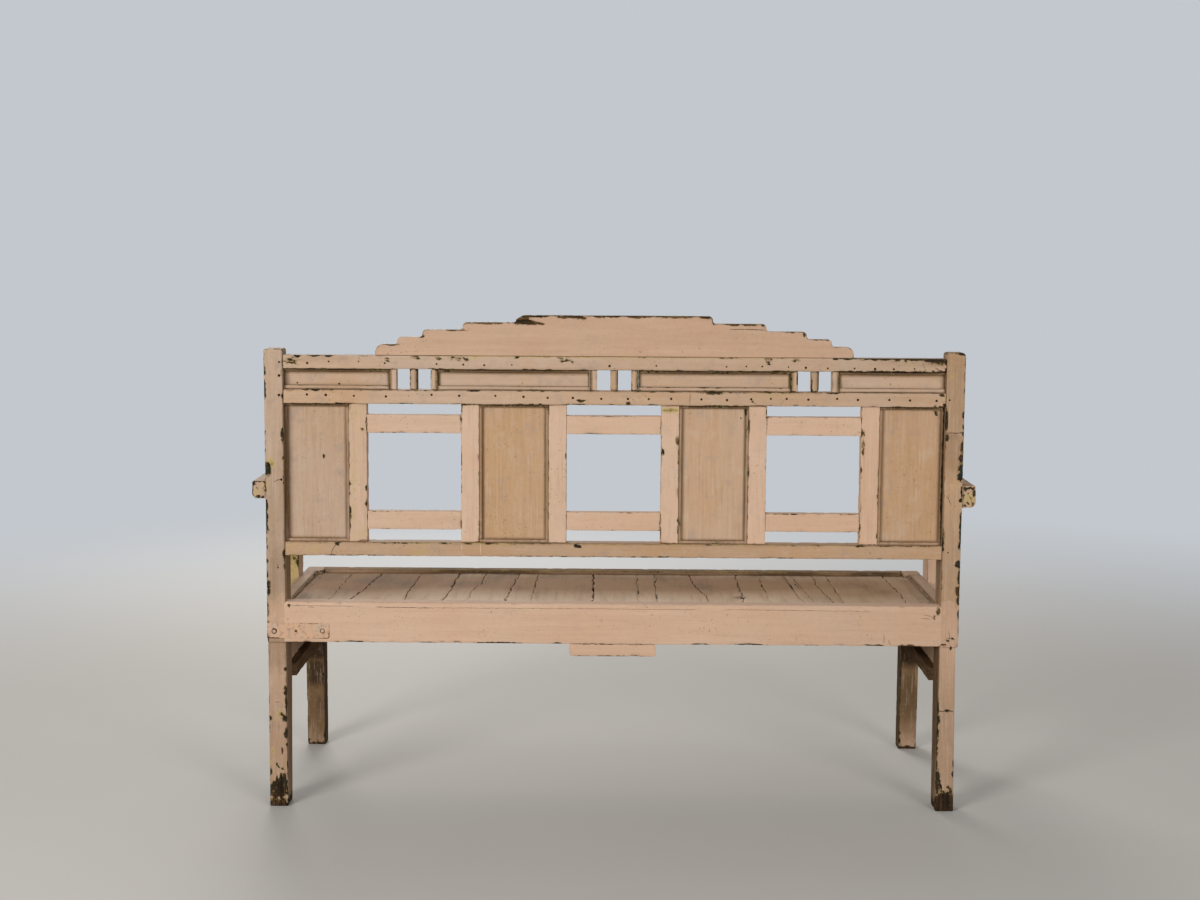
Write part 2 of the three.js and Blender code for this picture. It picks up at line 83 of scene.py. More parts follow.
def body(node, low_trim=(0, 0, 0), high_trim=None):
    """The visible block of a node: its box without the tenons, whose lengths are given in millimetres."""
    low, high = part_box(node)
    low = low + Vector(low_trim) * MM
    high = high - Vector(low_trim if high_trim is None else high_trim) * MM
    return low, high


def add(name, data):
    """Puts an object with this data into the scene."""
    thing = bpy.data.objects.new(name, data)
    bpy.context.scene.collection.objects.link(thing)
    return thing


# Materials

def colour(code):
    """A colour written as #rrggbb, as the renderer wants it."""
    shares = [int(code[i:i + 2], 16) / 255 for i in (1, 3, 5)]
    linear = [s / 12.92 if s <= 0.04045 else ((s + 0.055) / 1.055) ** 2.4 for s in shares]
    return (*linear, 1)


class Link:
    """A value in a finish's node tree, so that sums on it read as plain arithmetic."""

    def __init__(self, finish, socket):
        self.finish = finish
        self.socket = socket

    def _maths(self, operation, *terms):
        return self.finish.node("ShaderNodeMath", {"operation": operation}, dict(enumerate(terms)))

    def __add__(self, other):
        return self._maths("ADD", self, other)

    def __radd__(self, other):
        return self._maths("ADD", other, self)

    def __sub__(self, other):
        return self._maths("SUBTRACT", self, other)

    def __rsub__(self, other):
        return self._maths("SUBTRACT", other, self)

    def __mul__(self, other):
        return self._maths("MULTIPLY", self, other)

    def __rmul__(self, other):
        return self._maths("MULTIPLY", other, self)

    def rising(self, low, high):
        """0 below low, 1 above high and a soft step between."""
        return self.finish.node(
            "ShaderNodeMapRange",
            {"interpolation_type": "SMOOTHSTEP"},
            {"Value": self, "From Min": low, "From Max": high},
        )


class Finish:
    """The nodes of a material or of the world, and the few kinds of node that the finishes share."""

    def __init__(self, holder):
        holder.use_nodes = True
        self.holder = holder
        self.tree = holder.node_tree
        self.tree.nodes.clear()

    def node(self, kind, settings=None, sockets=None, out=0):
        made = self.tree.nodes.new(kind)
        for name, value in (settings or {}).items():
            setattr(made, name, value)
        for name, value in (sockets or {}).items():
            if isinstance(value, Link):
                self.tree.links.new(value.socket, made.inputs[name])
            else:
                made.inputs[name].default_value = value
        return Link(self, made.outputs[out] if made.outputs else None)

    def attribute(self, name):
        return self.node("ShaderNodeAttribute", {"attribute_name": name}, out="Fac")

    def place(self, scale=(1, 1, 1), shift=(0, 0, 0)):
        where = self.node("ShaderNodeTexCoord", out="Object")
        return self.node("ShaderNodeMapping", {}, {"Vector": where, "Scale": scale, "Location": shift})

    def clouds(self, where, scale, detail=3, roughness=0.55):
        return self.node("ShaderNodeTexNoise", {}, {
            "Vector": where, "Scale": scale, "Detail": detail, "Roughness": roughness,
        }, out="Fac")

    def flakes(self, where, scale):
        """One value for each small flake of a coat, with torn edges."""
        shake = self.node("ShaderNodeTexNoise", {}, {
            "Vector": where, "Scale": scale * 1.6, "Detail": 3,
        }, out="Color")
        where = self.node("ShaderNodeVectorMath", {"operation": "MULTIPLY_ADD"}, {
            0: shake, 1: (0.7 / scale,) * 3, 2: where,
        })
        flake = self.node("ShaderNodeTexVoronoi", {}, {"Vector": where, "Scale": scale}, out="Color")
        return self.node("ShaderNodeSeparateColor", {}, {"Color": flake}, out="Red")

    def mix(self, share, first, second):
        return self.node("ShaderNodeMix", {"data_type": "RGBA"}, {0: share, 6: first, 7: second}, out=2)

    def surface(self, base, roughness, height, depth, **constants):
        bump = self.node("ShaderNodeBump", {}, {"Height": height, "Distance": depth, "Strength": 0.7})
        shader = self.node("ShaderNodeBsdfPrincipled", {}, {
            "Base Color": base, "Roughness": roughness, "Normal": bump,
            "Specular IOR Level": DULLNESS, **constants,
        })
        self.node("ShaderNodeOutputMaterial", {}, {"Surface": shader})
        return self.holder


def new_finish(name):
    return Finish(bpy.data.materials.new(name))


TAN = colour("#c6ad98")
WARM_TAN = colour("#c5a07c")
PALE_TAN = colour("#d6c2ae")
PINK = colour("#d6b8a0")
DEEP_PINK = colour("#d3ab8d")
# Brown of old paint, also used for painted shade
AGE_AND_SHADE = colour("#7b6146")
YELLOW = colour("#b9a765")
OLIVE = colour("#6d6534")
OLD_GREEN = colour("#262d27")
LICHEN = colour("#77704f")
BARE_DARK = colour("#241b14")
BARE_LIGHT = colour("#503a27")
BARE_BROWN = colour("#80603d")
GREYED = colour("#a59488")
DARK_BOARD = colour("#4d3b2b")
PALE_BOARD = colour("#7b6249")
GRIME = colour("#5f4b37")
# Near-black, for the deepest painted shade
DEEP_SHADE = colour("#2c1f15")
SEAT = colour("#e0cbb2")
SEAT_BROWN = colour("#9b7753")
SEAT_GREY = colour("#d3bba0")
IRON = colour("#2b231d")
RUST = colour("#553622")

# How little light the dry surfaces throw straight back
DULLNESS = 0.06
ALONG = {"x": (0.05, 1, 1), "y": (1, 0.05, 1), "z": (1, 1, 0.05)}
STREAK_SCALE = 240
BAND_SCALE = 70
CLOUD_SCALE = 5
PATCH_SCALE = 28
CHIP_SCALE = 120
FLAKE_SCALE = 210
SPECK_SCALE = 230
CHIP_SHIFT = (3.1, 1.7, 4.3)
# How much of the grain shows through, and how green the oldest coat is, by the way the grain runs
FIGURE = {"x": 0.4, "y": 0.7, "z": 0.8}
GREEN_SHARE = {"x": 0.35, "y": 0.6, "z": 0.85}
TORN = {"x": (0.5, 1, 1), "y": (1, 0.5, 1), "z": (1, 1, 0.5)}
# The two colours of each paint, the palest wood under it, and how much of the green coat is left between
PAINTS = {"paint_tan": (TAN, WARM_TAN, BARE_LIGHT, 1), "paint_pink": (PINK, DEEP_PINK, BARE_BROWN, 0.4)}


def bare_wood_colour(finish, streaks, clouds, green, pale=BARE_LIGHT):
    """Old bare wood, brown along the grain, with what is left of the green coat."""
    brown = finish.mix(streaks.rising(0.35, 0.7), BARE_DARK, pale)
    return finish.mix(clouds.rising(0.42, 0.58) * green, brown, OLD_GREEN)


def old_paint(slot, grain):
    """Thin old paint over darker coats and dark wood. Each piece says how worn, soiled and old it is, and
    how much painted shade darkens it.
    """
    finish = new_finish(f"{slot}_{grain}")
    where = finish.place()
    streaks = finish.clouds(finish.place(ALONG[grain]), STREAK_SCALE, 4)
    clouds = finish.clouds(where, CLOUD_SCALE)
    patches = finish.clouds(finish.place(shift=CHIP_SHIFT), PATCH_SCALE, 4)
    crumbs = finish.clouds(where, CHIP_SCALE, 6, 0.68)
    torn = finish.clouds(finish.place(TORN[grain], CHIP_SHIFT), CHIP_SCALE, 6, 0.72)
    flakes = finish.flakes(finish.place(TORN[grain]), FLAKE_SCALE)
    edge = finish.attribute("wear")
    ragged = (torn - 0.5) * 1.7 + (flakes - 0.5) * 0.42 + (patches - 0.5) * 0.5
    wear = edge + edge.rising(0.05, 0.5) * ragged
    main, other, pale_wood, green_share = PAINTS[slot]
    bands = finish.clouds(finish.place(ALONG[grain], CHIP_SHIFT), BAND_SCALE, 4)
    figure = FIGURE[grain]
    share = (clouds - 0.5) * 1.4 + (bands - 0.5) * figure + finish.attribute("tone")
    paint = finish.mix(share, main, other)
    lap = (finish.attribute("lap") + (torn - 0.5) * 0.8).rising(0.45, 0.53)
    paint = finish.mix(lap, paint, finish.mix((clouds - 0.5) * 1.4 + 0.45, PINK, DEEP_PINK))
    paint = finish.mix(patches.rising(0.54, 0.72) * 0.25, paint, PALE_TAN)
    paint = finish.mix((1 - patches.rising(0.3, 0.48)) * 0.4 * green_share, paint, GREYED)
    # The age mask carries painted shade as well as age: it darkens the paint to brown, and past 0.85 to
    # near-black painted shade
    age = finish.attribute("age") + (patches - 0.5) * 0.18 + (bands - 0.5) * 0.25
    paint = finish.mix(age, paint, AGE_AND_SHADE)
    paint = finish.mix(age.rising(0.85, 1.7) * 0.92, paint, DEEP_SHADE)
    paint = finish.mix(streaks.rising(0.5, 0.8) * 0.26 * figure, paint, GRIME)
    paint = finish.mix((1 - streaks.rising(0.3, 0.46)) * 0.3 * figure, paint, PALE_TAN)
    paint = finish.mix(crumbs.rising(0.52, 0.72) * 0.12, paint, PALE_TAN)
    paint = finish.mix((1 - crumbs.rising(0.3, 0.48)) * 0.08, paint, GRIME)
    # The stain mask carries dirt, and in a few places painted highlight: the pale strips down the outer
    # edges of the front legs
    stain = finish.attribute("dirt") + (patches - 0.5) * 0.9 + (crumbs - 0.5) * 0.6
    paint = finish.mix(stain.rising(0.28, 0.95) * 0.85, paint, YELLOW)
    paint = finish.mix(stain.rising(0.72, 1.12) * 0.85, paint, GRIME)
    paint = finish.mix(wear.rising(0.3, 0.52) * 0.4, paint, GRIME)
    specks = finish.clouds(finish.place(shift=(7, 2, 5)), SPECK_SCALE, 2).rising(0.66, 0.72)
    rare = finish.clouds(finish.place(shift=(5, 9, 1)), 14).rising(0.5, 0.62)
    paint = finish.mix(specks * rare * 0.75, paint, OLIVE)
    yellow_rim = wear.rising(0.54, 0.57)
    dark_rim = wear.rising(0.565, 0.59)
    bare = wear.rising(0.585, 0.62)
    under = finish.mix(dark_rim, YELLOW, OLIVE)
    # The feet are brown with damp, without the green coat
    dry = finish.node("ShaderNodeSeparateXYZ", {}, {"Vector": where}, out="Z").rising(0.02, 0.06)
    worn = bare_wood_colour(finish, streaks, patches, dry * GREEN_SHARE[grain] * green_share, pale_wood)
    worn = finish.mix(crumbs.rising(0.52, 0.68) * 0.36 * green_share, worn, LICHEN)
    under = finish.mix(bare, under, worn)
    base = finish.mix(yellow_rim, paint, under)
    roughness = 0.6 + streaks * 0.1 + bare * 0.2 + age.rising(0.3, 1) * 0.2
    coats = (1 - yellow_rim) * 0.6 + (1 - bare) * 0.3
    height = coats + streaks * 0.2 * figure + patches * 0.25 + crumbs * 0.06
    return finish.surface(base, roughness, height, 0.9 * MM)


def seat_paint(slot, grain):
    """Dull worn paint on the seat boards, browner along wide streaks, and browned further with painted
    shade where the back shades the seat.
    """
    finish = new_finish(f"{slot}_{grain}")
    where = finish.place()
    streaks = finish.clouds(finish.place(ALONG[grain]), STREAK_SCALE, 5)
    wide_streaks = finish.clouds(finish.place(ALONG[grain], CHIP_SHIFT), 60, 4)
    clouds = finish.clouds(where, CLOUD_SCALE)
    crumbs = finish.clouds(where, CHIP_SCALE, 5, 0.65)
    wear = finish.attribute("wear") + (crumbs - 0.5) * 0.6
    paint = finish.mix((clouds - 0.5) * 1.8 + finish.attribute("tone"), SEAT, SEAT_GREY)
    paint = finish.mix(wide_streaks.rising(0.46, 0.66) * 0.25, paint, SEAT_BROWN)
    # Painted shade: the age here is the back's shadow on the middle and far part of the seat
    paint = finish.mix(finish.attribute("age"), paint, SEAT_BROWN)
    paint = finish.mix(streaks.rising(0.5, 0.75) * 0.16, paint, GRIME)
    smudges = finish.clouds(finish.place((1, 0.5, 1), (4, 8, 2)), 12, 4)
    stain = finish.attribute("dirt") + (smudges - 0.5) * 1.7 + (wide_streaks - 0.5) * 0.4
    paint = finish.mix(stain.rising(0.15, 0.9) * 0.62, paint, GRIME)
    bare = wear.rising(0.55, 0.75)
    base = finish.mix(bare, paint, bare_wood_colour(finish, streaks, clouds, 0.5))
    height = streaks * 0.5 + wide_streaks * 0.4 + (1 - bare) * 0.4
    return finish.surface(base, 0.66 + streaks * 0.15, height, 0.8 * MM)


def bare_wood(slot, grain):
    """Bare, dark old wood under the seat."""
    finish = new_finish(f"{slot}_{grain}")
    streaks = finish.clouds(finish.place(ALONG[grain]), STREAK_SCALE, 5)
    clouds = finish.clouds(finish.place(), CLOUD_SCALE)
    base = finish.mix(streaks.rising(0.3, 0.7), DARK_BOARD, PALE_BOARD)
    base = finish.mix(clouds.rising(0.4, 0.7) * 0.4, base, GRIME)
    return finish.surface(base, 0.8 + streaks * 0.1, streaks, 0.8 * MM)


def painted_iron(slot, grain):
    """Flat iron painted over with the wood, rusty where the paint has gone."""
    finish = new_finish(f"{slot}_{grain}")
    where = finish.place()
    clouds = finish.clouds(where, 40, 4)
    crumbs = finish.clouds(where, CHIP_SCALE, 5, 0.65)
    wear = finish.attribute("wear") * 0.9 + (crumbs - 0.5) * 0.7 + (clouds - 0.5) * 0.4
    paint = finish.mix(clouds.rising(0.35, 0.7), DEEP_PINK, TAN)
    paint = finish.mix(crumbs.rising(0.48, 0.7) * 0.5, paint, GRIME)
    under = finish.mix(wear.rising(0.56, 0.62), OLIVE, RUST)
    rim = wear.rising(0.5, 0.55)
    base = finish.mix(rim, paint, under)
    return finish.surface(base, 0.5 + rim * 0.3, clouds * 0.4 + (1 - rim), 0.5 * MM)


def rusty_iron(slot, grain):
    """Old nail and screw heads."""
    finish = new_finish(f"{slot}_{grain}")
    crumbs = finish.clouds(finish.place(), 500, 4)
    base = finish.mix(crumbs.rising(0.45, 0.65), IRON, RUST)
    return finish.surface(base, 0.7 + crumbs * 0.2, crumbs, 0.3 * MM, Metallic=0.3)


def packed_dirt(slot, grain):
    """Dirt in splits and joint lines."""
    finish = new_finish(f"{slot}_{grain}")
    crumbs = finish.clouds(finish.place(), 400, 3)
    base = finish.mix(crumbs, BARE_DARK, GRIME)
    return finish.surface(base, 0.85 + crumbs * 0.1, crumbs, 0.3 * MM)


MAKERS = {
    "paint_tan": old_paint,
    "paint_pink": old_paint,
    "seat_wood": seat_paint,
    "bare_wood": bare_wood,
    "painted_iron": painted_iron,
    "nail_iron": rusty_iron,
    "split_dirt": packed_dirt,
}
SLOTS = [entry["slot"] for entry in frame["record"]["materials"]]
SLOT_OF = {"nail_iron": "painted_iron", "split_dirt": "bare_wood"}
made_finishes = {}


def finish_for(slot, grain):
    """The finish of a slot for a grain along x, y or z, made once."""
    key = (slot, grain)
    if key not in made_finishes:
        made_finishes[key] = MAKERS[slot](slot, grain)
    return made_finishes[key]


# Making wood

def cube(low, high):
    bm = bmesh.new()
    bmesh.ops.create_cube(bm, size=1)
    bmesh.ops.scale(bm, vec=high - low, verts=bm.verts)
    bmesh.ops.translate(bm, vec=(low + high) / 2, verts=bm.verts)
    return bm


def cad_copy(node):
    """A node's own shape, welded and with its flat faces whole."""
    bm = bmesh.new()
    bm.from_mesh(frame["nodes"][node].data)
    bmesh.ops.remove_doubles(bm, verts=bm.verts, dist=WELD)
    bmesh.ops.dissolve_limit(bm, angle_limit=FLAT, verts=bm.verts, edges=bm.edges)
    return bm


def bevel(bm, edges, width, segments):
    bmesh.ops.bevel(
        bm, geom=edges, offset=width, offset_type="OFFSET", affect="EDGES",
        segments=segments, profile=0.5, material=-1, clamp_overlap=True,
    )


def soften(bm, arris=ARRIS):
    """Rounds the sharp arrises, and gives back where they were, as pairs of points."""
    edges = [e for e in bm.edges if e.calc_face_angle(0) > SHARP]
    lines = np.array([[v.co for v in e.verts] for e in edges])
    bevel(bm, edges, arris, 2)
    return lines


def divide(bm, step=GRID):
    """Cuts the surface into a fine grid, so that wear can be set point by point."""
    points = np.array([v.co for v in bm.verts])
    low, high = points.min(0), points.max(0)
    for axis in AXES:
        count = max(1, round((high[axis] - low[axis]) / step))
        normal = Vector([axis == other for other in AXES])
        for i in range(1, count):
            cut = Vector([low[axis] + (high[axis] - low[axis]) * i / count] * 3)
            bmesh.ops.bisect_plane(
                bm, geom=bm.verts[:] + bm.edges[:] + bm.faces[:], dist=WELD / 10,
                plane_co=cut, plane_no=normal,
            )


def arris_distances(points, lines):
    """How far each point is from the nearest arris."""
    nearest = np.full(len(points), np.inf)
    for start, end in lines:
        along = end - start
        share = np.clip(((points - start) @ along) / (along @ along), 0, 1)
        gaps = np.linalg.norm(points - start - share[:, None] * along, axis=1)
        nearest = np.minimum(nearest, gaps)
    return nearest


def weather(bm, lines, tone=0.0, edge_wear=0.45, nicks=1.0, wave=1.0, age=0.0, spots=(), stains=(), ages=(),
            laps=()):
    """Waves the faces and nicks the arrises inwards. Each point keeps how worn, soiled and old it is, with
    painted shade added into its age and, in a few places, a painted highlight into its stain, the tone of
    its paint and how much newer paint laps over it."""
    bm.normal_update()
    layers = bm.verts.layers.float
    wear, dirt, tint, age_and_shade_layer, newer = [layers.new(name) for name in ("wear", "dirt", "tone", "age", "lap")]
    points = np.array([v.co for v in bm.verts])
    distances = arris_distances(points, lines)
    spotted, stained_and_highlit, shaded_and_aged, lapped = [spread(points, table) for table in (spots, stains, ages, laps)]
    for i, v in enumerate(bm.verts):
        near = max(0.0, 1 - distances[i] / ARRIS_REACH)
        patchy = 0.7 + 1.1 * noise.noise(v.co * WEAR_SCALE)
        v[wear] = max(near * edge_wear * patchy, spotted[i])
        v[dirt] = stained_and_highlit[i]
        v[tint] = tone
        # The age here includes painted shade
        v[age_and_shade_layer] = age + shaded_and_aged[i]
        v[newer] = lapped[i]
    for i, v in enumerate(bm.verts):
        depth = wave * WAVE_DEPTH * (0.5 + 0.5 * noise.noise(v.co * WAVE_SCALE))
        if distances[i] < 2 * ARRIS:
            bite = noise.noise(v.co * NICK_SCALE) - NICK_LIMIT
            depth += nicks * NICK_DEPTH * max(0.0, bite) + max(0.0, spotted[i] - CHIP_LIMIT) * MM
        v.co -= v.normal * depth


def marks(y, depth, rows):
    """Spots at one y that reach equally deep, given as rows of (x, z, reach in x, reach in z, strength)."""
    return [((x, y, z), (across, depth, up), strength) for x, z, across, up, strength in rows]


def spread(points, spots):
    """The strength of a table of spots at each point: 1 in a spot's middle, 0 at twice its reach."""
    total = np.zeros(len(points))
    for centre, reach, strength in spots:
        gaps = np.linalg.norm((points - np.array(place(*centre))) / (np.array(reach) * MM), axis=1)
        total = np.maximum(total, strength * np.clip(1.5 - 0.75 * gaps, 0, 1))
    return total


# The surface of each piece, for what is let into it or lies on it
carriers = {}


def show(name, bm, slot, grain):
    """Makes a mesh a piece of the bench. One with the name of a node takes that node's place."""
    takes_place = name in frame["nodes"]
    piece_name = f"{name}_wood" if takes_place else name
    carriers[name] = BVHTree.FromBMesh(bm)
    mesh = bpy.data.meshes.new(piece_name)
    bm.to_mesh(mesh)
    bm.free()
    mesh.shade_smooth()
    mesh.set_sharp_from_angle(angle=SHARP)
    mesh.materials.append(finish_for(slot, grain))
    piece = add(piece_name, mesh)
    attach(piece, "root")
    slot if slot in SLOTS else SLOT_OF[slot]
    if takes_place:
        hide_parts(name)


def board(node, slot, grain, low_trim=(0, 0, 0), high_trim=None, rounds=(), arris=ARRIS, step=GRID,
          shape=None, filled_ends=False, **looks):
    """A squared board in place of a node, with rounded, nicked and worn arrises. Paint fills the joints at
    filled ends, so the arrises there are whole."""
    low, high = body(node, low_trim, high_trim)
    bm = cube(low, high)
    for chosen, radius in rounds:
        edges = [e for e in bm.edges if chosen((e.verts[0].co + e.verts[1].co) / 2, low, high)]
        bevel(bm, edges, radius * MM, ROUND_STEPS)
    lines = soften(bm, arris)
    if filled_ends:
        lines = np.array([line for line in lines if np.ptp(line[:, 0]) > WELD])
    divide(bm, step)
    if shape:
        lines = reshape(bm, lines, shape)
    stains = [*looks.pop("stains", ()), *nail_stains(node)]
    weather(bm, lines, stains=stains, **looks)
    show(node, bm, slot, grain)


def move_points(bm, shape):
    for v in bm.verts:
        v.co = shape(v.co)


def reshape(bm, lines, shape):
    """Moves each point of a mesh, and of its arrises, to where shape puts it."""
    move_points(bm, shape)
    return np.array([[shape(Vector(p)) for p in line] for line in lines])


def gather(parts):
    """Puts meshes that stay together into one."""
    whole = bmesh.new()
    for part in parts:
        mesh = bpy.data.meshes.new("part")
        part.to_mesh(mesh)
        part.free()
        whole.from_mesh(mesh)
        bpy.data.meshes.remove(mesh)
    return whole


def joined_blocks(node, grain, blocks, **looks):
    """Several small blocks that stay together in place of a node, such as a panel and its beads."""
    parts = []
    for low, high, arris in blocks:
        bm = cube(low, high)
        lines = soften(bm, arris)
        divide(bm)
        weather(bm, lines, **looks)
        parts.append(bm)
    show(node, gather(parts), "paint_tan", grain)


def ribbon(rows, sink):
    """A thin strip between rows of two points each, made solid by sinking a copy of it."""
    bm = bmesh.new()
    bmesh.ops.create_grid(bm, x_segments=len(rows) - 1, y_segments=1, size=1)
    for v, point in zip(bm.verts, [row[0] for row in rows] + [row[1] for row in rows]):
        v.co = point
    grown = bmesh.ops.extrude_face_region(bm, geom=bm.faces[:])["geom"]
    bmesh.ops.translate(bm, vec=sink, verts=[g for g in grown if isinstance(g, bmesh.types.BMVert)])
    bmesh.ops.recalc_face_normals(bm, faces=bm.faces)
    return bm


# Nails and screws: the board that carries them, and (x, z, radius)
NAILS = {
    "frieze_rail": [
        (-658.5, 907.8, 2.6), (-618, 907.2, 3), (-557.7, 905.6, 2.2), (-488.9, 904.6, 2.6),
        (-390.9, 908.9, 2.4), (-331.7, 907.1, 2.6), (-254.1, 907.6, 2.2), (-193.9, 905.9, 2.6),
        (-142.1, 903.9, 2.4), (-88.3, 904.2, 2.6), (-27.3, 902.5, 2.4), (29.7, 902.8, 2.6),
        (74.4, 902.7, 2.2), (122.3, 903.5, 2.6), (187, 902.8, 2.4), (241.8, 901.7, 2.6),
        (293.7, 903.9, 2.4), (335.6, 904.9, 2.2), (369.4, 905.1, 2.4), (415.8, 903.7, 2.6),
        (477.3, 905.8, 2.4), (521.8, 903.7, 2.6), (588.9, 904.2, 2.4), (633.2, 903.4, 2.6),
        (689.8, 902.9, 2.6),
    ],
    "top_rail": [
        (-657, 975.4, 2.6), (-611, 978.9, 2), (-547, 979.3, 1.6), (-491, 976, 2), (-380, 975, 2),
        (-323, 974, 2.2), (-278, 973, 2.2), (-219, 974, 1.6), (-10, 973, 2.6), (90, 974, 1.8),
        (240, 973, 1.8), (282, 974, 1.8), (316, 974, 2), (372, 973, 1.6), (409, 972, 2.6),
        (456, 971, 2), (513, 971, 2), (557, 970, 2.8), (597, 970, 2.2), (641, 971, 1.8),
    ],
    "rear_post_left": [
        (-716.5, 977.4, 2.2), (-716.9, 948.5, 3), (-717.5, 906.6, 3), (-724.7, 532.2, 1.8),
        (-715, 724, 2.6),
    ],
    "rear_post_right": [(717, 905, 2), (722, 575, 1.6)],
    "frieze_panel_1": [(-681.7, 931.7, 1.8), (-591.5, 930.2, 2.2)],
    "mending_plate": [(-735, 392, 5.4), (-687.5, 393, 1.7), (-630, 393.5, 5.2)],
}
NAIL_RING = (4, 14, 4)
NAIL_STAINS = [0.6, 0.2, 0.45, 0]


def nail_stains(node):
    """The dark rings that rusting heads leave in the paint."""
    return [
        ((x, 10, z), NAIL_RING, NAIL_STAINS[i % len(NAIL_STAINS)])
        for i, (x, z, radius) in enumerate(NAILS.get(node, ()))
    ]


# Posts and legs

POST_FOOT_TAPER = 14 * MM
POST_TOP_TAPER = 24 * MM
LEG_FOOT_TAPER = 14 * MM
TAPER_TOP = 276 * MM
POST_TAPER_START = 732 * MM
POST_TOP_ROUND = 6
LEG_SETBACK = 2.5 * MM
OUTER_SETBACK = {-1: 1 * MM, 1: 5.5 * MM}
POST_INNER = 710
POST_WIDTH = 40
APRON_BOTTOM = 368.5 * MM
post_low, post_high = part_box("rear_post_left")
leg_low, leg_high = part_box("front_leg_left")


def post_shape(side):
    """Tapers a squared post: its front face goes in at the foot and the top, and its outer faces step back
    a little under the seat frame."""
    def shape(p):
        p = p.copy()
        depth = (p.y - post_low.y) / (post_high.y - post_low.y)
        if p.z < TAPER_TOP:
            p.y -= depth * POST_FOOT_TAPER * (1 - p.z / TAPER_TOP)
        if p.z > POST_TAPER_START:
            p.y -= depth * POST_TOP_TAPER * (p.z - POST_TAPER_START) / (post_high.z - POST_TAPER_START)
        if p.z < APRON_BOTTOM:
            p.y += (1 - depth) * LEG_SETBACK
            outer = (abs(p.x) / MM - POST_INNER) / POST_WIDTH
            p.x -= side * OUTER_SETBACK[side] * max(0.0, outer) * p.z / APRON_BOTTOM
        return p
    return shape


def leg_shape(p):
    """Tapers a front leg towards its foot, on its rear face."""
    p = p.copy()
    depth = (leg_high.y - p.y) / (leg_high.y - leg_low.y)
    if p.z < TAPER_TOP:
        p.y += depth * LEG_FOOT_TAPER * (1 - p.z / TAPER_TOP)
    return p


def leg_front_spots(side):
    """Chips on the front of a front leg, and its bare end."""
    return [
        *marks(546, 8, [
            (side * 749, 160, 4, 26, 0.92), (side * 708, 300, 3.6, 12, 0.9),
            (side * 749, 372, 3.4, 12, 0.92), (side * 720, 86, 3, 5, 0.85), (side * 707, 120, 3, 9, 0.85),
        ]),
        ((side * 728, 546, 12), (40, 12, 20), 0.92), ((side * 728, 525, 0), (40, 60, 6), 0.95),
    ]


LEFT_POST_SPOTS = [
    *marks(0, 8, [
        (-751, 960, 4, 12, 0.9), (-751, 925, 4, 14, 0.95), (-751, 905, 4, 6, 0.85),
        (-751, 828, 3.5, 5, 0.8), (-751, 806, 3.5, 7, 0.75), (-751, 787, 3.5, 4, 0.8),
        (-751, 700, 3, 14, 0.66), (-750, 668, 4.5, 12, 0.95), (-750, 640, 5, 12, 0.95),
        (-750, 616, 5, 9, 1), (-751, 594, 4, 6, 0.85), (-751, 577, 4, 5, 0.9), (-748, 545, 4, 5, 0.8),
        (-748, 518, 4, 6, 0.85), (-747, 496, 4.5, 9, 0.92), (-747, 478, 5, 6, 0.9), (-750, 440, 4, 14, 0.8),
        (-750, 410, 4, 7, 0.8), (-710, 820, 4, 11, 0.98), (-710, 771, 3.5, 4, 0.8),
        (-709, 742, 3.5, 3, 0.75), (-709, 905, 3.5, 5, 0.8), (-709, 560, 4, 10, 0.82),
        (-709, 535, 3.5, 6, 0.8),
    ]),
    *marks(2, 9, [
        (-712, 307, 2.4, 4, 0.9), (-712, 260, 4.2, 9, 1), (-711, 231, 2.8, 10, 0.95),
        (-716, 196, 6, 5, 1.05), (-712, 165, 4.2, 9, 1), (-710, 139, 2.5, 3, 0.9), (-748, 197, 3.6, 5, 1),
        (-749.5, 178, 2.2, 4, 0.9), (-749.5, 168, 2, 2.6, 0.9), (-749, 80, 4, 8, 0.98),
        (-749.5, 44, 2.2, 3, 0.9), (-709, 90, 2, 40, 0.66), (-733, 56, 2.8, 11, 1), (-724, 58, 2.8, 13, 1),
        (-716, 58, 3, 15, 1),
    ]),
    *marks(2, 8, [(-721, 207, 3, 2.4, 0.95), (-721, 123, 2.8, 6.5, 1), (-741, 50, 2.2, 7, 0.92)]),
    *marks(2, 7, [(-733, 94, 2.4, 3.6, 1), (-729, 89, 2.2, 2.2, 0.95), (-721, 85.5, 3, 3, 1)]),
    *marks(2, 10, [(-728, 42, 15, 12, 1.1), (-730, 28, 24, 6, 1.02)]),
    ((-746, 0, 746), (7, 9, 11), 1.1), ((-728, 0, 538), (3, 6, 3), 0.75),
    ((-730, 30, 0), (40, 60, 17), 0.95),
]
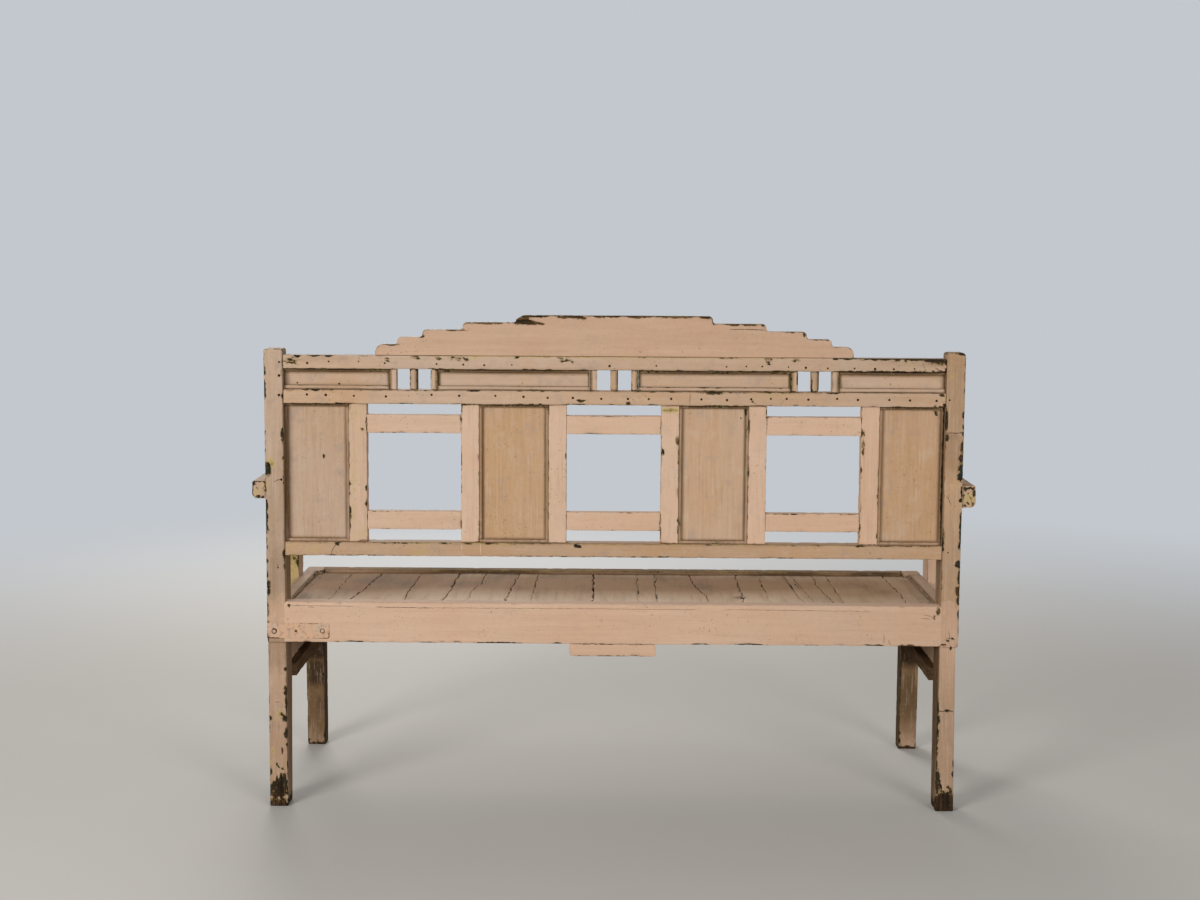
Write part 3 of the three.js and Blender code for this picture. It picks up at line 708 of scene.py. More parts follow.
RIGHT_POST_SPOTS = [
    *marks(0, 8, [
        (740, 1004, 12, 3.5, 0.9), (751, 985, 4, 12, 0.85), (751, 955, 4, 12, 0.8), (751, 925, 4, 8, 0.8),
        (749, 872, 4, 8, 0.92), (749, 850, 4, 6, 0.9), (750, 832, 4, 5, 0.85), (750, 706, 4, 13, 0.92),
        (746, 690, 4.5, 4, 0.92), (750, 655, 4, 8, 0.92), (750, 622, 4, 22, 0.85), (748, 590, 4.5, 8, 0.92),
        (746, 549, 6, 7, 1.02), (749, 522, 5, 13, 0.96), (747, 491, 5.5, 8, 1), (749, 470, 5, 7, 1),
        (750, 440, 3.5, 10, 0.8), (714, 825, 4, 7, 0.85), (711, 862, 3.5, 20, 0.8), (711, 600, 3, 20, 0.72),
        (738, 387, 3.4, 2, 0.85), (727, 382, 2.6, 1.8, 0.85), (718, 372, 5, 2.5, 0.8),
        (745, 371, 4, 2.5, 0.8), (734, 364, 2.4, 4, 0.85),
    ]),
    *marks(0, 9, [
        (748, 802, 5, 9, 1.05), (747, 779, 6, 8, 1.05), (746, 758, 7, 9, 1.1), (745, 739, 6, 7, 1.05),
    ]),
    *marks(2, 8, [
        (731, 225, 5, 1.8, 0.95), (722, 56, 2, 4, 0.98), (736, 55, 2.2, 4, 0.98), (730, 43, 2.6, 4, 0.9),
        (742, 46, 3.4, 6, 1), (725, 44, 4, 4, 0.9),
    ]),
    *marks(2, 9, [
        (711, 205, 3.6, 9, 0.92), (710, 235, 2.6, 16, 0.8), (710.5, 150, 2.8, 60, 0.84),
        (713, 82, 5, 10, 1), (716, 68, 3.6, 6, 0.96), (713, 58, 4, 18, 1.02), (749, 108, 3, 8, 0.95),
        (748, 84, 3.6, 5.5, 0.98),
    ]),
    ((733, 2, 22), (28, 12, 15), 1.1), ((730, 30, 0), (40, 60, 17), 0.95),
]
POST_LOOKS = {
    "left": {
        "spots": LEFT_POST_SPOTS, "tone": 0.15,
        "stains": [((-738, 0, 760), (8, 12, 9), 0.95), ((-749, 0, 712), (5, 12, 20), 0.6),
                   ((-740, 0, 520), (12, 20, 50), 0.25), ((-727, 2, 206), (2.6, 9, 11), 1),
                   ((-742, 2, 125), (3.4, 9, 6), 0.9), ((-747, 2, 98), (3, 9, 7), 0.7)],
        # Painted shade: the strips on the inner face (x -710) and the band under the apron (z 345); the
        # darkening lower down is painted shade mixed with age
        "ages": [
            *marks(30, 60, [
                (-730, 520, 60, 70, 0.52), (-730, 640, 60, 120, 0.34), (-730, 120, 60, 200, 0.5),
                (-730, 345, 60, 50, 0.62), (-730, 860, 60, 120, 0.16),
            ]),
            *marks(45, 36, [(-710, 230, 3, 260, 0.78), (-710, 700, 3, 320, 0.95)]),
        ],
        "laps": [((-730, 0, 414), (60, 60, 36), 1), ((-716, 0, 464), (8, 20, 10), 0.9),
                 ((-730, 0, 150), (60, 20, 180), 1)],
    },
    "right": {
        "spots": RIGHT_POST_SPOTS, "tone": 0.7,
        "stains": [((747, 0, 690), (10, 20, 60), 0.4), ((722, 0, 955), (4, 12, 5), 0.7),
                   ((731, 0, 960), (4, 12, 5), 0.7), ((716, 2, 30), (8, 12, 12), 0.3),
                   ((711, 0, 915), (3, 12, 12), 0.5)],
        # Painted shade: the strips on the inner face (x 710), and the darkening lower down, mixed with age
        # there
        "ages": [((730, 30, 530), (60, 60, 120), 0.34), ((730, 30, 120), (60, 60, 200), 0.54),
                 ((726, 0, 826), (14, 9, 9), 0.6), ((730, 0, 925), (60, 30, 100), 0.4),
                 ((730, 0, 790), (60, 30, 40), 0.46), ((710, 45, 230), (3, 36, 260), 1.12),
                 ((710, 45, 700), (3, 36, 320), 0.95)],
        "laps": [((730, 0, 414), (60, 60, 34), 1), ((726, 0, 460), (12, 20, 8), 0.9),
                 ((730, 0, 150), (60, 20, 180), 1)],
    },
}


def upper_ends(middle, low, high):
    """Picks the upper edges of a post, on its left and right."""
    return middle.z > high.z - WELD and abs(middle.x - (low.x + high.x) / 2) > WELD


# The front legs, which show under the seat from behind
LEG_SPOTS = {
    "left": marks(490, 12, [
        (-709, 26, 3, 10, 0.9), (-744, 12, 3, 5, 0.8), (-722, 14, 4, 3, 0.8), (-708, 180, 2.5, 6, 0.8),
        (-736, 214, 3, 2.5, 0.8),
    ]),
    "right": marks(490, 12, [
        (707, 180, 2, 60, 0.72), (708, 40, 3, 5, 0.95), (710, 22, 3, 9, 0.8), (747, 34, 2.6, 10, 0.85),
        (740, 20, 3, 6, 0.8), (718, 12, 4, 4, 0.7),
    ]),
}
# These legs stand in the seat's shadow: their age strengths are painted shade, darkest near the top and on
# the inner faces (x ±706). The pale stains down the outer edges (x ±747) are painted highlights.
LEG_LOOKS = {
    "left": {
        "laps": marks(490, 16, [(-719, 100, 10, 38, 1), (-728, 20, 40, 24, 0.8)]),
        "stains": marks(490, 14, [(-747, 200, 3.5, 60, 0.5), (-728, 196, 60, 16, 0.36)]),
        "ages": [((-728, 488, 265), (60, 14, 42), 2.1), ((-728, 488, 180), (60, 14, 46), 1.45),
                 ((-728, 488, 60), (60, 14, 110), 1.2), ((-706, 520, 120), (3, 60, 260), 1.3),
                 ((-719, 490, 100), (10, 16, 38), 1.15)],
    },
    "right": {
        "laps": [((728, 490, 18), (40, 16, 22), 0.9)],
        "stains": marks(490, 14, [(747, 180, 3, 70, 0.5), (722, 110, 30, 70, 0.3)]),
        "ages": [((728, 488, 262), (60, 14, 44), 1.9), ((728, 488, 110), (60, 14, 90), 1.12),
                 ((706, 520, 120), (3, 60, 260), 1.3)],
    },
}

for name, side in SIDES.items():
    board(f"rear_post_{name}", "paint_tan", "z", rounds=[(upper_ends, POST_TOP_ROUND)], step=POST_GRID,
          shape=post_shape(side), edge_wear=0.55, **POST_LOOKS[name])
    board(f"front_leg_{name}", "paint_tan", "z", step=POST_GRID, shape=leg_shape, tone=0.7, edge_wear=0.75,
          age=0.1, spots=LEG_SPOTS[name] + leg_front_spots(side), **LEG_LOOKS[name])

# Rails and uprights of the back

RAIL_TENON = (24, 0, 0)
STILE_TENON = (0, 0, 12)
WINDOW_TENON = (15, 0, 0)
UPRIGHT_TENON = (0, 0, 6)
FRIEZE_GRID = 4 * MM

board("top_rail", "paint_tan", "x", RAIL_TENON, tone=0.25, edge_wear=0.42, age=0.03, spots=[
    *marks(4, 8, [
        (-679, 992, 7, 4, 0.95), (-640, 993, 12, 3.5, 0.95), (-612, 993, 8, 3, 0.9), (60, 991, 8, 2.5, 0.7),
        (470, 992, 6, 2, 0.8), (514, 991.5, 3, 2.5, 0.9), (558, 991, 7, 3, 0.92), (578, 992, 6, 2, 0.85),
        (600, 990.5, 14, 3.4, 0.9), (633, 990.5, 9, 3, 0.85), (655, 991, 16, 3.6, 0.95),
        (690, 989, 22, 4.6, 0.96), (560, 992.5, 70, 2.4, 0.8), (655, 992, 50, 3.4, 0.9),
    ]),
    *marks(4, 6, [
        (-692, 979, 10, 10, 0.64), (-485, 984, 6, 4, 0.64), (-425, 988, 10, 4, 0.62),
        (-375, 986, 6, 4, 0.62), (-340, 986, 12, 5, 0.64), (-316, 984, 6, 4, 0.64),
        (-105, 985, 11, 5, 0.66), (-88, 981, 5, 4, 0.66), (-210, 990, 6, 3, 0.62), (330, 983, 7, 5, 0.64),
        (388, 988, 9, 4, 0.66), (622, 989, 3, 4, 0.8), (676, 984, 8, 2.4, 0.8), (710, 984, 4, 5, 1),
        (684, 965, 2.8, 2.6, 1), (708, 966, 2.6, 3, 0.95), (697, 979, 7, 4, 0.68),
        (600, 963.6, 110, 1.4, 0.78), (698, 963.6, 10, 2, 0.9), (508, 964, 4, 2, 0.85),
        (640, 984, 3, 3, 0.7),
    ]),
    *marks(44, 8, [(-500, 992, 60, 3, 0.7), (420, 991, 50, 3, 0.7), (100, 991, 30, 3, 0.7)]),
], stains=[
    *marks(4, 10, [
        (-690, 978, 20, 14, 0.5), (-330, 983, 60, 9, 0.35), (0, 965, 760, 2, 0.4), (650, 980, 60, 14, 0.34),
    ]),
    ((0, 4, 993), (400, 8, 2.4), 0.75),
], ages=[
    *marks(4, 12, [(-640, 988, 60, 8, 0.2), (640, 985, 80, 12, 0.2), (420, 978, 300, 20, 0.08)]),
    # The dark line along the lower edge is painted shade under the rail
    ((0, 10, 962), (760, 10, 1.6), 1.3), ((690, 4, 984), (26, 8, 5), 0.5),
])
board("frieze_rail", "paint_tan", "x", RAIL_TENON, tone=0.5, edge_wear=0.6, spots=[
    *marks(4, 7, [
        (82, 889, 8, 3, 0.85), (214, 917, 16, 3, 0.85), (-640, 918, 10, 2.5, 0.8), (-88, 889, 12, 3, 0.8),
        (470, 918, 16, 2.5, 0.8), (-300, 918, 12, 2.5, 0.78),
    ]),
    *marks(4, 5, [
        (702, 914, 3.2, 3.2, 1.05), (705.5, 901, 2.4, 2, 0.95), (690, 891, 3, 2.2, 0.9),
        (699, 890, 4, 2, 0.95), (707, 891.5, 3, 3, 0.98), (688, 896, 1.6, 1.6, 0.9),
        (296, 899, 3, 2.4, 0.78),
    ]),
    *marks(4, 6, [(30, 893, 5, 4, 0.8), (-70, 898, 8, 3, 0.75)]),
], stains=[
    ((0, 4, 889), (760, 10, 2), 0.4), ((340, 4, 912), (60, 8, 8), 0.45),
], ages=[
    # The dark lines along the lower and upper edges are painted shade
    ((0, 10, 887), (760, 10, 1.6), 1.3), ((0, 4, 920), (760, 8, 1.5), 0.6),
    ((420, 4, 904), (300, 12, 20), 0.08),
])
# The dark lines along its upper and lower edges (z 589 and 557) are painted shade with dirt
board("lower_back_rail", "paint_tan", "x", RAIL_TENON, tone=0.75, edge_wear=0.6, age=0.16, spots=[
    *marks(4, 6, [(-597, 585, 3.5, 3.5, 1), (-77, 583, 6, 3.5, 1)]),
    *marks(4, 7, [
        (-362, 587, 12, 1.8, 0.74), (-314, 587, 9, 1.8, 0.72), (-264, 587, 16, 2, 0.74),
        (-200, 587, 9, 1.8, 0.7), (-76, 587, 8, 2, 0.68), (386, 587, 6, 2, 0.68), (438, 587, 12, 3, 0.68),
        (533, 587, 8, 3, 0.66), (-600, 559, 40, 2, 0.6), (0, 559, 200, 1.5, 0.5),
    ]),
], stains=marks(4, 12, [
    (-330, 588, 140, 4, 0.6), (250, 588, 400, 3, 0.5), (-670, 572, 50, 14, 0.42), (-400, 566, 40, 9, 0.5),
]), ages=marks(4, 8, [(0, 589, 760, 1.5, 0.5), (0, 557, 760, 1.5, 0.5)]))

STILE_TONES = [0.1, 0.05, 0.2, 0, 0.3, 0.45]
STILE_AGES = [0.12, 0, 0, 0, 0, 0.03]
STILE_STAINS = {
    1: marks(14, 10, [(-564, 740, 12, 170, 0.46), (-545, 840, 30, 50, 0.36), (-545, 615, 14, 20, 0.45)]),
    2: [((-292, 14, 640), (4, 10, 90), 0.35)],
    3: [((-138, 14, 720), (4, 10, 160), 0.45)],
    4: marks(14, 10, [(121, 878, 20, 5, 0.9), (106, 790, 5, 12, 0.6), (138, 790, 4, 30, 0.5)]),
    5: [((328, 14, 850), (5, 10, 30), 0.4)],
    6: [((566, 14, 640), (5, 10, 120), 0.4)],
}
STILE_SPOTS = {
    1: [
        *marks(14, 7, [
            (-570, 714, 3.5, 4, 0.95), (-570, 692, 3.5, 3, 0.9), (-570, 640, 3, 24, 0.8),
            (-533, 705, 3.5, 3, 0.9), (-533, 672, 3.5, 3, 0.9),
        ]),
        ((-542, 14, 832), (4, 6, 3), 0.85),
    ],
    4: marks(14, 7, [(138, 815, 4, 9, 0.66), (106, 786, 3, 6, 0.64)]),
    6: marks(14, 7, [(534, 832, 4, 6, 0.85), (537, 800, 3.5, 16, 0.72), (533, 745, 3, 10, 0.7)]),
}
for i, (tone, age) in enumerate(zip(STILE_TONES, STILE_AGES), start=1):
    board(f"back_stile_{i}", "paint_pink", "z", STILE_TENON, tone=tone, edge_wear=0.6, age=age,
          stains=STILE_STAINS[i], spots=STILE_SPOTS.get(i, ()))
for i, age in enumerate((0.07, 0.02, 0.02), start=1):
    for level, tone in (("lower", 0.3), ("upper", 0.1)):
        board(f"window_rail_{level}_{i}", "paint_pink", "x", WINDOW_TENON, tone=tone + 0.1 * i - 0.1,
              edge_wear=0.5, age=age)
    # One side of each divider is darkened with painted shade
    low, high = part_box(f"frieze_divider_{i}")
    board(f"frieze_divider_{i}", "paint_tan", "z", UPRIGHT_TENON, step=FRIEZE_GRID, tone=0.5, edge_wear=0.7,
          age=0.15, stains=[((0, 20, 930), (800, 12, 30), 0.42)],
          ages=[((high.x / MM, 20, 941), (3, 20, 40), 1.3)])
# The edge of each frieze stile towards its panel is dark with old dirt and painted shade
for i in range(1, 7):
    low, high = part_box(f"frieze_stile_{i}")
    dark_edge_x = (low if i % 2 else high).x / MM
    board(f"frieze_stile_{i}", "paint_tan", "z", UPRIGHT_TENON, step=FRIEZE_GRID, tone=0.4, edge_wear=0.6,
          stains=[((dark_edge_x, 14, 941), (6, 20, 40), 0.5)], ages=[((dark_edge_x, 14, 941), (4, 20, 40), 1.3)])

# Panels with their beads

PANEL_TONGUE = (6, 0, 6)
PANEL_PLATE = (26, 35)
PANEL_BEADS = (17, 41)
PANEL_BEAD_WIDTH = 6 * MM
FRIEZE_TONGUE = (5, 0, 5)
FRIEZE_PLATE = (22, 29.2)
FRIEZE_BEADS = (12, 30)
FRIEZE_LOWER_BEAD = 9 * MM
FRIEZE_UPPER_BEAD = 6 * MM
FRIEZE_INSET = 2 * MM
BEAD_ARRIS = 1 * MM
PANEL_TONES = [0.25, 1.0, 0.5, 0.75]
# Painted shade of the posts on the outer beads of the first and last panels (x -707 and 712), and a little
# age over the panels
PANEL_SHADE_AND_AGE = {
    1: [((-707, 20, 740), (4.4, 40, 200), 1), ((-640, 26, 740), (80, 30, 200), 0.14)],
    2: [((-216, 26, 740), (80, 30, 200), 0.06)],
    4: [((712, 20, 740), (3, 40, 200), 1.7), ((645, 26, 740), (80, 30, 200), 0.1)],
}
PANEL_SPOTS = {
    1: marks(26, 8, [(-626, 772, 2.6, 3.4, 1), (-594, 735, 2, 2, 0.8)]),
    # The first spot is a dark patch of painted shade at the top right of panel 3; the second is a speck
    3: [((285, 20, 874), (4, 30, 9), 0.72), ((272, 26, 862), (2, 8, 2), 0.9)],
    4: [((709, 17, 760), (2.5, 30, 150), 0.95), ((692, 22, 875), (4, 20, 5), 0.9)],
}
RIM_REACH = 1
TOP_RIM_REACH = 2.2


def block(x0, x1, span, z0, z1, arris=BEAD_ARRIS):
    """A small block, whose depth is given in millimetres from the rear."""
    y0, y1 = [REAR + edge * MM for edge in span]
    return Vector((x0, y0, z0)), Vector((x1, y1, z1)), arris


def frame_of_beads(low, high, span):
    """Four strips round a panel, the upright ones between the level ones."""
    width = PANEL_BEAD_WIDTH
    return [
        block(low.x, high.x, span, low.z, low.z + width),
        block(low.x, high.x, span, high.z - width, high.z),
        block(low.x, low.x + width, span, low.z + width, high.z - width),
        block(high.x - width, high.x, span, low.z + width, high.z - width),
    ]


def rim_stains(low, high, y, strength, upper):
    """Dark rims round the corners of an opening, thickest under the rail above it: painted shade where they
    darken the age, dirt where they stain.
    """
    middle = (low + high) / 2 / MM
    half = (high - low) / 2 / MM
    return marks(y, 30, [
        (low.x / MM, middle.z, RIM_REACH, half.z * 1.2, strength),
        (high.x / MM, middle.z, RIM_REACH, half.z * 1.2, strength),
        (middle.x, low.z / MM, half.x * 1.2, RIM_REACH, strength),
        (middle.x, high.z / MM, half.x * 1.2, TOP_RIM_REACH, upper),
    ])


# The age rims round each panel are painted shade in its recess
for i, tone in enumerate(PANEL_TONES, start=1):
    low, high = body(f"back_panel_{i}", PANEL_TONGUE)
    beads = Vector((PANEL_BEAD_WIDTH, 0, PANEL_BEAD_WIDTH))
    inner_low, inner_high = low + beads, high - beads
    joined_blocks(f"back_panel_{i}", "z", [
        block(low.x, high.x, PANEL_PLATE, low.z, high.z, ARRIS),
        *frame_of_beads(low, high, (PANEL_BEADS[0], PANEL_PLATE[0])),
        *frame_of_beads(low, high, (PANEL_PLATE[1], PANEL_BEADS[1])),
    ], tone=tone, edge_wear=0.4, nicks=0.3, wave=0.6, spots=PANEL_SPOTS.get(i, ()), ages=[
        *rim_stains(low, high, 20, 0.75, 1.7), *rim_stains(inner_low, inner_high, 26, 0.9, 1.1),
        *PANEL_SHADE_AND_AGE.get(i, ()),
    ], laps=marks(17, 8, [((low.x + high.x) / 2 / MM, low.z / MM + 3, 70, 3.4, 1)]),
        stains=rim_stains(inner_low, inner_high, 26, 0.34, 0.4))

# The age rims round each frieze panel are painted shade, darkest under the rail
for i, age in enumerate((0.06, 0, 0, 0), start=1):
    low, high = body(f"frieze_panel_{i}", FRIEZE_TONGUE)
    inner_low = Vector((low.x, 0, low.z + FRIEZE_LOWER_BEAD))
    inner_high = Vector((high.x, 0, high.z - FRIEZE_UPPER_BEAD))
    joined_blocks(f"frieze_panel_{i}", "x", [
        block(low.x, high.x, FRIEZE_PLATE, low.z + FRIEZE_INSET, high.z - FRIEZE_INSET, ARRIS / 2),
        block(low.x, high.x, FRIEZE_BEADS, low.z, inner_low.z),
        block(low.x, high.x, FRIEZE_BEADS, inner_high.z, high.z),
    ], tone=0.3, edge_wear=0.5, nicks=0.3, age=age,
        ages=rim_stains(low, high, 20, 1.1, 1.7) + rim_stains(inner_low, inner_high, 22, 0.7, 1.1),
        stains=rim_stains(inner_low, inner_high, 22, 0.4, 0.3) + nail_stains(f"frieze_panel_{i}"))

# Crest

CREST_TENON = 12
CREST_FOOT = 1016
CREST_RISE = 16
CREST_TOP = 1080.5
CREST_STEP = 4.5 * MM
# The corners of the steps, as (x, z, reach of the curve, how far wear has widened it)
CREST_CORNERS = [(512.5, CREST_FOOT, -11, 1.45)]
for i, riser in enumerate((465.5, 411.5, 325, 210.5)):
    tread = CREST_FOOT + i * CREST_RISE
    CREST_CORNERS += [(riser, tread, 4, 1.7), (riser, tread + CREST_RISE, -6, 1.45)]
# Where the left corner of the top tread has broken off, and the hollow in the rear face under it
BREAK_XS = [-220, -212, -203, -196, -187, -180, -167, -150, -138]
BREAK_TOPS = [1066, 1069, 1075, 1080, 1080.5, 1080.5, 1080.5, 1080.5, 1080.5]
BREAK_ROOFS = [1085, 1085, 1082, 1077, 1074, 1070, 1066, 1061.5, 1059]
BREAK_FEET = [1062, 1061.5, 1061, 1060.5, 1060, 1060, 1060, 1059.5, 1059]
BREAK_END = -150
BREAK_LEVEL = 1058
HOLLOW_DEPTH = 4
HOLLOW_REACH = 26
RAGGED = 2.5
# Bare dark runs along the highest treads, and the broken corner
CREST_WEAR = [
    *marks(14, 16, [(-188, 1079.5, 20, 4, 1), (-158, 1080, 16, 3.6, 0.98), (-128, 1080.5, 16, 2, 0.8)]),
    *marks(16, 14, [
        (-208, 1066, 7, 5, 1.15), (-196, 1067, 8, 5.5, 1.15), (-184, 1065.5, 8, 4.4, 1.15),
        (-172, 1063, 7, 2.8, 1.1), (-160, 1061, 8, 1.6, 1.05), (-208, 1073, 5, 4, 1.1),
    ]),
    *marks(14, 8, [
        (-112, 1076, 10, 1.4, 0.85), (-78, 1076, 16, 3, 0.92), (-66, 1073, 3, 2.6, 0.9),
        (-94, 1079, 16, 4, 0.95), (-20, 1080, 40, 3.4, 0.9), (50, 1080, 36, 3.6, 0.92),
        (130, 1080, 50, 3.6, 0.92), (196, 1078, 12, 3.4, 0.92), (212, 1068, 3, 7, 0.9),
        (250, 1063, 16, 3, 0.8), (290, 1063, 14, 3, 0.85), (320, 1061, 6, 2.4, 0.92),
        (330, 1055, 2, 3, 0.85), (-270, 1064, 36, 3, 0.85), (-412, 1035, 4, 4, 0.95),
        (380, 1048, 12, 2.4, 0.84), (405, 1042, 2.4, 3, 0.86), (456, 1031, 2.6, 3, 0.88),
        (436, 1033, 12, 2.5, 0.78), (-480, 1016, 16, 2.5, 0.75), (-345, 1047, 20, 2.5, 0.72),
    ]),
    *marks(38, 8, [(0, 1080, 160, 3, 0.7), (-250, 1064, 60, 3, 0.62)]),
]


def softer_corner(p):
    """Widens the curves at the corners of the steps, as long wear has."""
    x, z = abs(p.x) / MM, p.z / MM
    for corner_x, corner_z, reach, growth in CREST_CORNERS:
        shares = (x - corner_x) / reach, (z - corner_z) / reach
        if min(shares) > -0.01 and max(shares) < 1.01:
            x, z = corner_x + (x - corner_x) * growth, corner_z + (z - corner_z) * growth
            break
    return Vector((math.copysign(x, p.x) * MM, p.y, z * MM))


def broken_corner(p):
    """Takes the left corner off the top tread, and some of its rear face beside it."""
    x, y, z = p.x / MM, (p.y - REAR) / MM, p.z / MM
    ragged = RAGGED * noise.noise(Vector((x * 0.16, z * 0.16, 3.3)))
    if x < BREAK_END and z > BREAK_LEVEL:
        z = min(z, CREST_TOP, np.interp(x, BREAK_XS, BREAK_TOPS) + ragged * 0.8)
    foot = np.interp(x, BREAK_XS, BREAK_FEET) + ragged * 0.3
    roof = np.interp(x, BREAK_XS, BREAK_ROOFS) + ragged * 0.5
    if BREAK_XS[0] < x < BREAK_XS[-1] and foot < z < roof and y < HOLLOW_REACH:
        y += min(HOLLOW_DEPTH, (z - foot) * 2, (roof - z) * 2)
    return Vector((x * MM, REAR + y * MM, z * MM))


crest = cad_copy("crest_board")
crest_low = body("crest_board", (0, 0, CREST_TENON))[0]
bmesh.ops.bisect_plane(crest, geom=crest.verts[:] + crest.edges[:] + crest.faces[:], dist=WELD,
                       plane_co=crest_low, plane_no=Vector((0, 0, -1)), clear_outer=True)
bmesh.ops.holes_fill(crest, edges=[e for e in crest.edges if e.is_boundary])
bmesh.ops.dissolve_limit(crest, angle_limit=FLAT, verts=crest.verts, edges=crest.edges)
move_points(crest, softer_corner)
crest_lines = soften(crest)
# The foot is whole, because the paint fills the joint there
crest_lines = np.array([line for line in crest_lines if line[:, 2].max() > crest_low.z + ARRIS])
divide(crest, CREST_STEP)
move_points(crest, broken_corner)
weather(crest, crest_lines, spots=CREST_WEAR, tone=0.4, edge_wear=0.55, nicks=1.2, age=0.22,
        stains=marks(14, 8, [(-160, 1080, 60, 3, 0.6), (-60, 1080, 60, 3, 0.5), (250, 1000, 300, 3, 0.3)]))
show("crest_board", crest, "paint_pink", "x")

# Seat frame

APRON_TENON = (25, 0, 0)
SIDE_TENON = (0, 30, 0)
# The paint laps over the joints between the apron and the posts
APRON_LAP = (22, -0.35, 0)
APRON_TOP_ROUND = 6
PENDANT_ROUND = 5


def upper_rear_edge(middle, low, high):
    return middle.z > high.z - WELD and middle.y < low.y + WELD


def lower_ends(middle, low, high):
    """Picks the lower edges of the pendant, on its left and right."""
    return middle.z < low.z + WELD and abs(middle.x) > high.x - WELD


board("rear_apron", "paint_pink", "x", APRON_LAP, (APRON_LAP[0], 0, 0), filled_ends=True,
      rounds=[(upper_rear_edge, APRON_TOP_ROUND)], tone=0.3, edge_wear=0.14, age=0.05, spots=[
    *marks(0, 8, [
        (300, 368, 30, 3, 0.8), (-250, 368, 40, 3, 0.8), (560, 368, 22, 4, 0.85), (640, 368, 24, 4, 0.85),
        (-560, 368, 40, 3, 0.8), (-400, 368, 14, 3, 0.8), (-120, 368, 14, 3, 0.8), (190, 368, 16, 3, 0.8),
        (430, 368, 12, 3, 0.8), (705, 446, 3, 10, 0.86),
    ]),
    *marks(0, 7, [(698, 432, 2.6, 4, 0.82), (-701, 447, 2.6, 4, 0.9)]),
], stains=[((0, 0, 455), (760, 12, 3), 0.1)], ages=[((640, 0, 410), (220, 20, 80), 0.1)])
board("front_apron", "paint_tan", "x", APRON_TENON, tone=0.6, edge_wear=0.5, age=0.05, spots=marks(546, 8, [
    (-420, 437, 40, 3, 0.8), (160, 437, 60, 2.6, 0.74), (330, 329, 70, 3, 0.8), (-90, 329, 50, 2.6, 0.76),
    (-560, 329, 30, 4, 0.85), (610, 420, 3, 3, 0.9),
]), stains=[((0, 516, 438), (760, 20, 4), 0.44)], ages=[
    # The dark rear face and upper edges are painted shade
    *marks(510, 14, [(-300, 436, 130, 6, 1.2), (420, 436, 100, 6, 1.1), (640, 436, 60, 6, 1.3)]),
    ((0, 510, 428), (760, 8, 3), 1.4), ((0, 522, 438), (760, 24, 6), 0.86),
])
board("rear_pendant", "paint_pink", "x", rounds=[(lower_ends, PENDANT_ROUND)], tone=0.3, edge_wear=0.5,
      age=0.07, spots=marks(4, 8, [(0, 369, 90, 2.5, 0.58), (0, 341, 80, 2, 0.55)]))
for name, side in SIDES.items():
    # The dark line along each rail's inner top edge (x ±719) is painted shade where the seat meets it
    board(f"side_rail_{name}", "paint_tan", "y", SIDE_TENON, tone=0.35, edge_wear=0.55, age=0.06,
          stains=[((side * 717, 280, 440), (5, 260, 6), 0.45)],
          ages=marks(280, 300, [(side * 719, 438, 5, 5, 0.95), (side * 735, 438, 30, 6, 0.2)]))
    board(f"side_batten_{name}", "bare_wood", "y", nicks=0.25)

# Arms

SUPPORT_TENON = (0, 0, 15)
SUPPORT_ROUND = 14
ARM_ARRIS = 1 * MM
SUPPORT_SPOTS = {
    "left": marks(404, 10, [
        (-762, 545, 5, 12, 0.85), (-755, 520, 4, 10, 0.8), (-768, 500, 6, 8, 0.85), (-752, 560, 3, 14, 0.8),
        (-757, 480, 5, 8, 0.8),
    ]),
    "right": marks(404, 10, [(762, 520, 5, 8, 0.8), (752, 545, 3, 16, 0.75)]),
}
ARM_SPOTS = {
    "left": [
        *marks(6, 8, [
            (-776, 716, 4, 3.4, 0.9), (-780, 703, 2.4, 6, 0.85), (-763, 688, 5, 2.6, 0.85),
            (-769, 702, 2.6, 3, 0.72), (-757, 706, 2.2, 2.4, 0.7),
        ]),
        ((-779, 300, 718), (6, 200, 4), 0.7), ((-746, 530, 700), (30, 8, 20), 0.34),
    ],
    "right": [
        *marks(6, 8, [
            (757, 712, 3.5, 3, 1), (765, 714, 11, 1.8, 0.95), (777, 705, 3, 9, 0.85),
            (753, 698, 3, 4, 0.88), (755, 676, 4, 4, 0.92), (770, 692, 3, 3, 0.82), (763, 684, 3, 3, 0.8),
            (773, 680, 3, 3, 0.8), (761, 702, 2.5, 2.5, 0.8),
        ]),
        ((779, 280, 718), (6, 220, 4), 0.7), ((746, 530, 700), (30, 8, 20), 0.34),
    ],
}
ARM_STAINS = {
    "left": [((-765, 6, 698), (14, 12, 12), 0.6)],
    "right": [((764, 6, 692), (14, 12, 14), 0.65)],
}
SUPPORT_LOOKS = {"left": ("paint_tan", 0.9), "right": ("paint_pink", 0.35)}


def outer_foot(middle, low, high):
    """Picks the lower edge of an arm support that faces away from the seat."""
    return middle.z < low.z + WELD and abs(middle.x) > max(abs(low.x), abs(high.x)) - WELD


for name, side in SIDES.items():
    arm = cad_copy(f"arm_{name}")
    arm_lines = soften(arm, ARM_ARRIS)
    divide(arm)
    weather(arm, arm_lines, tone=0.5, edge_wear=0.7, age=0.12, spots=ARM_SPOTS[name],
            stains=ARM_STAINS[name])
    show(f"arm_{name}", arm, "paint_tan", "y")
    slot, dirt = SUPPORT_LOOKS[name]
    board(f"arm_support_{name}", slot, "z", (0, 0, 0), SUPPORT_TENON, rounds=[(outer_foot, SUPPORT_ROUND)],
          tone=0.2, edge_wear=0.7, spots=SUPPORT_SPOTS[name],
          stains=[((side * 765, 404, 600), (40, 14, 180), dirt)])

# Seat boards

SEAT_REAR = 34.5
SEAT_FRONT = 508.5
SEAT_STEP = 6 * MM
SEAT_THICKNESS = 18 * MM
SEAT_ARRIS = 0.9 * MM
SEAT_SAG = 0.8 * MM
